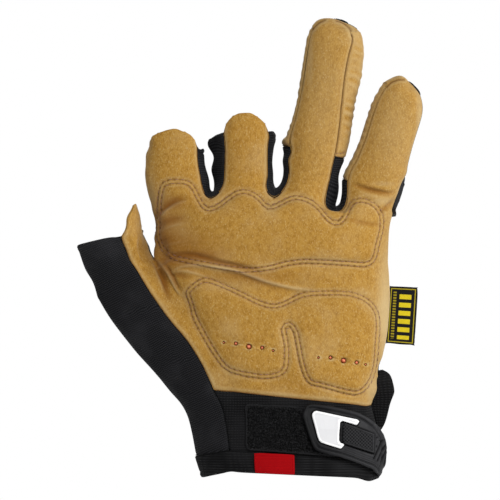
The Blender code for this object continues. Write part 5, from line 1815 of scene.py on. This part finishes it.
def on_tab(places):
    """Places of the tab's lines at the depth of its front."""
    centre = spots([(PHOTO_SIDE / 2, PHOTO_SIDE / 2)])[0]
    return centre + (places - centre) * (1 - TAB_DEPTH / CAMERA_DISTANCE)


def fitted(mesh, line, spread):
    """Spreads the sides of a part of the tab, and pulls what passes its outline back to it."""
    places = places_of(mesh)
    flat = places[:, (0, 2)] + normals_of(mesh)[:, (0, 2)] * spread
    track, out = along_line(flat, line, True), ~inside(flat, line)
    ends = np.vstack((line, line[:1]))
    runs = np.concatenate(([0.0], np.cumsum(np.hypot(*np.diff(ends, axis=0).T))))
    nearest = np.column_stack([np.interp(track.run, runs, ends[:, axis]) for axis in (0, 1)])
    flat[out] = nearest[out]
    places[:, (0, 2)] = flat
    put_places(mesh, places)
    return flat


def tab_relief(flat, outline, insert, badge):
    """The tab's front at places in X and Z: how high it rises or is cut, and the painted shade in its cuts.
    """
    track = along_line(flat, outline, True)
    edge, share = track.away, track.run / track.length
    to_insert, to_badge = along_line(flat, insert, True).away, along_line(flat, badge, True).away
    in_insert, in_badge = inside(flat, insert), inside(flat, badge)
    fades = spots([(across, 0) for across in TAB_STEP_FADES])[:, 0]
    step = bell(edge - TAB_STEP_AT, STEP_CUT.width) * soft_step(flat[:, 0], *fades)
    around_insert = bell(to_insert, INSERT_CUT.width) * ~in_insert
    around_badge = bell(to_badge, BADGE_CUT.width) * ~in_insert
    band = soft_step(edge, *LINES_FROM) * (1 - soft_step(edge, *LINES_TO)) * ~in_badge
    band *= soft_step(share, *LINES_START) * (1 - soft_step(share, *LINES_END)) * (to_insert > 1.2 * MM)
    lines = (0.5 + 0.5 * np.cos(edge / LINE_CUT.width * 2 * math.pi)) * band
    cuts = [
        (STEP_CUT, step, step),
        (INSERT_CUT, np.where(in_insert, 1.0, around_insert), around_insert),
        (BADGE_CUT, np.maximum(around_badge, in_badge), around_badge),
        (LINE_CUT, lines, lines),
    ]
    for ends in TAB_RIBS:
        cut = bell(along_line(flat, on_tab(spots(ends)), False).away, RIB_CUT.width)
        cuts.append((RIB_CUT, cut, cut))
    for pit in on_tab(spots(TAB_PITS)):
        cut = bell(np.hypot(*(flat - pit).T), PIT_CUT.width)
        cuts.append((PIT_CUT, cut, cut))
    rise = TAB_RIM_RISE * np.sqrt(np.clip(1 - ((edge - TAB_RIM_HALF) / TAB_RIM_HALF) ** 2, 0, 1))
    groove = np.zeros(len(flat))
    for kind, sunk, shaded in cuts:
        rise -= kind.depth * sunk
        groove = np.maximum(groove, kind.dark * shaded)
    return rise, groove


def make_tab_body(outline, insert, badge):
    """The moulded tab with its rim, recesses, ribs and pits."""
    mesh = tab_part("closure_tab", voxel=0.22 * MM, passes=6)
    flat = fitted(mesh, outline, spread=0.25 * MM)
    rise, groove = tab_relief(flat, outline, insert, badge)
    raised(mesh, rise)
    put_grooves(mesh, groove)
    finish_piece(mesh, "closure_tab_moulding", "closure_tab", rubber())


def make_tab_insert(line):
    """The white insert with its low border."""
    mesh = tab_part("tab_insert", voxel=0.16 * MM, passes=4)
    edge = along_line(fitted(mesh, line, spread=0.60 * MM), line, True).away
    border = 1 - soft_step(edge, 0.80 * MM, 1.0 * MM)
    raised(mesh, 0.10 * MM * border * soft_step(edge, 0, 0.3 * MM))
    put_numbers(mesh, "border", border)
    finish_piece(mesh, "tab_insert_face", "tab_insert", vinyl())


def make_tab_badge(line):
    """The badge with its frame and its plain beaded field."""
    mesh = tab_part("tab_badge", voxel=0.16 * MM, passes=4)
    flat = fitted(mesh, line, spread=0.40 * MM)
    edge = along_line(flat, line, True).away
    field = soft_step(edge, *FIELD_STARTS)
    beads = np.prod(np.cos(flat / BEAD_PITCH * 2 * math.pi), axis=1) * field
    raised(mesh, 0.28 * MM * bell(edge - 0.5 * MM, 0.28 * MM) + 0.18 * MM * beads)
    # Painted shade between the beads, at the badge's outer edge and inside its frame
    between_beads = field * np.clip(0.35 - 0.9 * beads, 0, 1)
    outer_edge = 1 - soft_step(edge, 0.12 * MM, 0.32 * MM)
    inside_frame = 0.7 * bell(edge - 1.0 * MM, 0.2 * MM)
    put_grooves(mesh, np.maximum.reduce((between_beads, outer_edge, inside_frame)))
    finish_piece(mesh, "tab_badge_face", "tab_badge", rubber())


def make_tab():
    """The wrist tab, its white insert and its badge."""
    insert, badge = (on_tab(spots(line)) for line in (INSERT_OUTLINE, BADGE_OUTLINE))
    make_tab_body(on_tab(smooth_line(TAB_OUTLINE, True)), insert, badge)
    make_tab_insert(insert)
    make_tab_badge(badge)


# Stitching


def lay_thread(shape, tree, start, end):
    """Lays a thread on the leather from one needle hole to the next, if both are on leather."""
    pitch, width = sizes().stitch_pitch, sizes().thread_width
    (a, one), (b, two) = (front_at(tree, x, z) for x, z in (start, end))
    if a is None or b is None:
        return
    way, up = b - a, (one + two).normalized()
    hit = tree.ray_cast((a + b) / 2 + up * 4 * MM, -up)[0]
    if hit is None or way.length > THREAD_LONGEST * pitch:
        return
    side = way.cross(up).normalized()
    turn = Matrix((way.normalized(), side, side.cross(way).normalized())).transposed().to_4x4()
    scale = Matrix.Diagonal((way.length * THREAD_REACH, width / 2, width * THREAD_HEIGHT, 1))
    place = Matrix.Translation(hit + up * width * THREAD_LIFT) @ turn @ scale
    bmesh.ops.create_uvsphere(
        shape,
        u_segments=6,
        v_segments=6,
        radius=1.0,
        matrix=place @ Matrix.Rotation(math.pi / 2, 4, "Y"),
    )


def make_stitching():
    """Threads that lie in the stitched rows, each one between two needle holes."""
    pitch = sizes().stitch_pitch
    tree = panel_tree(LEATHERS)
    shape = bmesh.new()
    lines = [(row, True) for row in stitch_rows()]
    lines += [(smooth_line(line, False), False) for line in CROSS_ROWS]
    for row, closed in lines:
        holes = even(row, closed, pitch if closed else 0.7 * pitch)
        ends = np.roll(holes, -1, axis=0)
        for start, end in zip(holes, ends) if closed else zip(holes[:-1], ends):
            lay_thread(shape, tree, start, end)
    mesh = mesh_of(shape)
    shape.free()
    finish_piece(mesh, "palm_thread", None, thread(), slot="tan_suede")


# Stage


def make_floor():
    """A plain pale floor below the glove."""
    made = Finish("pale_floor")
    speck = made.noise(made.place(), 20.0, 2.0)
    made.done(made.blend(speck, *FLOOR_TONES), 0.7 + speck * 0.1)
    shape = bmesh.new()
    level = Matrix.Translation((0, 0, FLOOR_LEVEL))
    bmesh.ops.create_circle(shape, cap_ends=True, segments=96, radius=FLOOR_RADIUS, matrix=level)
    mesh = mesh_of(shape, "floor")
    shape.free()
    mesh.materials.append(made.material)
    object_of(mesh, "floor")


def make_camera(centre):
    """A camera that looks at the palm side and frames what the photograph does."""
    lens = bpy.data.cameras.new("camera")
    eye = object_of(lens, "camera")
    lens.sensor_width = SENSOR_WIDTH
    lens.lens = SENSOR_WIDTH * CAMERA_DISTANCE / (PHOTO_SIDE * PIXEL)
    lens.clip_start, lens.clip_end = 0.1, 20.0
    eye.location = (centre[0], -CAMERA_DISTANCE, centre[1])
    eye.rotation_euler = (math.pi / 2, 0, 0)
    bpy.context.scene.camera = eye


def make_sky():
    """A white background behind the glove, which lights it less brightly than it looks."""
    world = bpy.data.worlds.new("studio")
    world.use_nodes = True
    tree = world.node_tree
    light = tree.nodes["Background"]
    light.inputs["Color"].default_value = WHITE
    light.inputs["Strength"].default_value = SKY_STRENGTH
    white = tree.nodes.new("ShaderNodeBackground")
    white.inputs["Color"].default_value = WHITE
    path = tree.nodes.new("ShaderNodeLightPath")
    mix = tree.nodes.new("ShaderNodeMixShader")
    tree.links.new(path.outputs["Is Camera Ray"], mix.inputs[0])
    tree.links.new(light.outputs[0], mix.inputs[1])
    tree.links.new(white.outputs[0], mix.inputs[2])
    tree.links.new(mix.outputs[0], tree.nodes["World Output"].inputs["Surface"])
    bpy.context.scene.world = world


def make_lamps(centre):
    """Soft lamps that are aimed at the middle of the glove."""
    for name, power, size, place in LAMPS:
        lamp = bpy.data.lights.new(name, "AREA")
        lamp.energy, lamp.size = power, size
        stand = object_of(lamp, name)
        stand.location = place
        aim = Vector((centre[0], 0, centre[1])) - stand.location
        stand.rotation_euler = aim.to_track_quat("-Z", "Y").to_euler()


def make_stage():
    """The floor, the light and the camera at the photograph's angle."""
    centre = spots([(PHOTO_SIDE / 2, PHOTO_SIDE / 2)])[0]
    make_floor()
    make_camera(centre)
    make_sky()
    make_lamps(centre)
    bpy.context.scene.view_settings.view_transform = "Standard"


# The add-on


class GLOVE_OT_leather(bpy.types.Operator):
    """Makes the palm and the finger sidewalls of suede"""

    bl_idname = "glove.leather"
    bl_label = "Suede Panels"

    def execute(self, context):
        make_leather()
        return {"FINISHED"}


class GLOVE_OT_knits(bpy.types.Operator):
    """Makes the back, the thumb and the gussets of stretch knit"""

    bl_idname = "glove.knits"
    bl_label = "Knit Panels"

    def execute(self, context):
        make_knits()
        return {"FINISHED"}


class GLOVE_OT_cuff(bpy.types.Operator):
    """Makes the cuff, its hem, strap, flap, patch and pull loop"""

    bl_idname = "glove.cuff"
    bl_label = "Cuff"

    def execute(self, context):
        make_cuff()
        return {"FINISHED"}


class GLOVE_OT_label(bpy.types.Operator):
    """Makes the woven label in the side seam"""

    bl_idname = "glove.label"
    bl_label = "Side Label"

    def execute(self, context):
        make_label()
        return {"FINISHED"}


class GLOVE_OT_guards(bpy.types.Operator):
    """Makes the moulded guards"""

    bl_idname = "glove.guards"
    bl_label = "Guards"

    def execute(self, context):
        make_guards()
        return {"FINISHED"}


class GLOVE_OT_foam(bpy.types.Operator):
    """Makes the foam behind the perforations"""

    bl_idname = "glove.foam"
    bl_label = "Heel Foam"

    def execute(self, context):
        make_foam()
        return {"FINISHED"}


class GLOVE_OT_tab(bpy.types.Operator):
    """Makes the wrist tab, its insert and its badge"""

    bl_idname = "glove.tab"
    bl_label = "Wrist Tab"

    def execute(self, context):
        make_tab()
        return {"FINISHED"}


class GLOVE_OT_stitching(bpy.types.Operator):
    """Makes the threads on the leather"""

    bl_idname = "glove.stitching"
    bl_label = "Stitching"

    def execute(self, context):
        make_stitching()
        return {"FINISHED"}


class GLOVE_OT_stage(bpy.types.Operator):
    """Makes the floor, the light and the camera"""

    bl_idname = "glove.stage"
    bl_label = "Stage"

    def execute(self, context):
        make_stage()
        return {"FINISHED"}


OPERATORS = (
    GLOVE_OT_leather,
    GLOVE_OT_knits,
    GLOVE_OT_cuff,
    GLOVE_OT_label,
    GLOVE_OT_guards,
    GLOVE_OT_foam,
    GLOVE_OT_tab,
    GLOVE_OT_stitching,
    GLOVE_OT_stage,
)


class GLOVE_PT_pieces(bpy.types.Panel):
    """The glove's pieces, sizes and colours"""

    bl_label = "Work Glove"
    bl_space_type = "VIEW_3D"
    bl_region_type = "UI"
    bl_category = "Glove"

    def draw(self, context):
        for group in (context.scene.glove_sizes, context.scene.glove_colours):
            for name in group.__annotations__:
                self.layout.prop(group, name)
        for kind in OPERATORS:
            self.layout.operator(kind.bl_idname)


CLASSES = (GloveSizes, GloveColours, *OPERATORS, GLOVE_PT_pieces)


def register():
    for kind in CLASSES:
        bpy.utils.register_class(kind)
    bpy.types.Scene.glove_sizes = PointerProperty(type=GloveSizes)
    bpy.types.Scene.glove_colours = PointerProperty(type=GloveColours)


def unregister():
    del bpy.types.Scene.glove_colours
    del bpy.types.Scene.glove_sizes
    for kind in reversed(CLASSES):
        bpy.utils.unregister_class(kind)


def main():
    register()
    for kind in OPERATORS:
        group, name = kind.bl_idname.split(".")
        getattr(getattr(bpy.ops, group), name)()


if __name__ == "__main__":
    main()
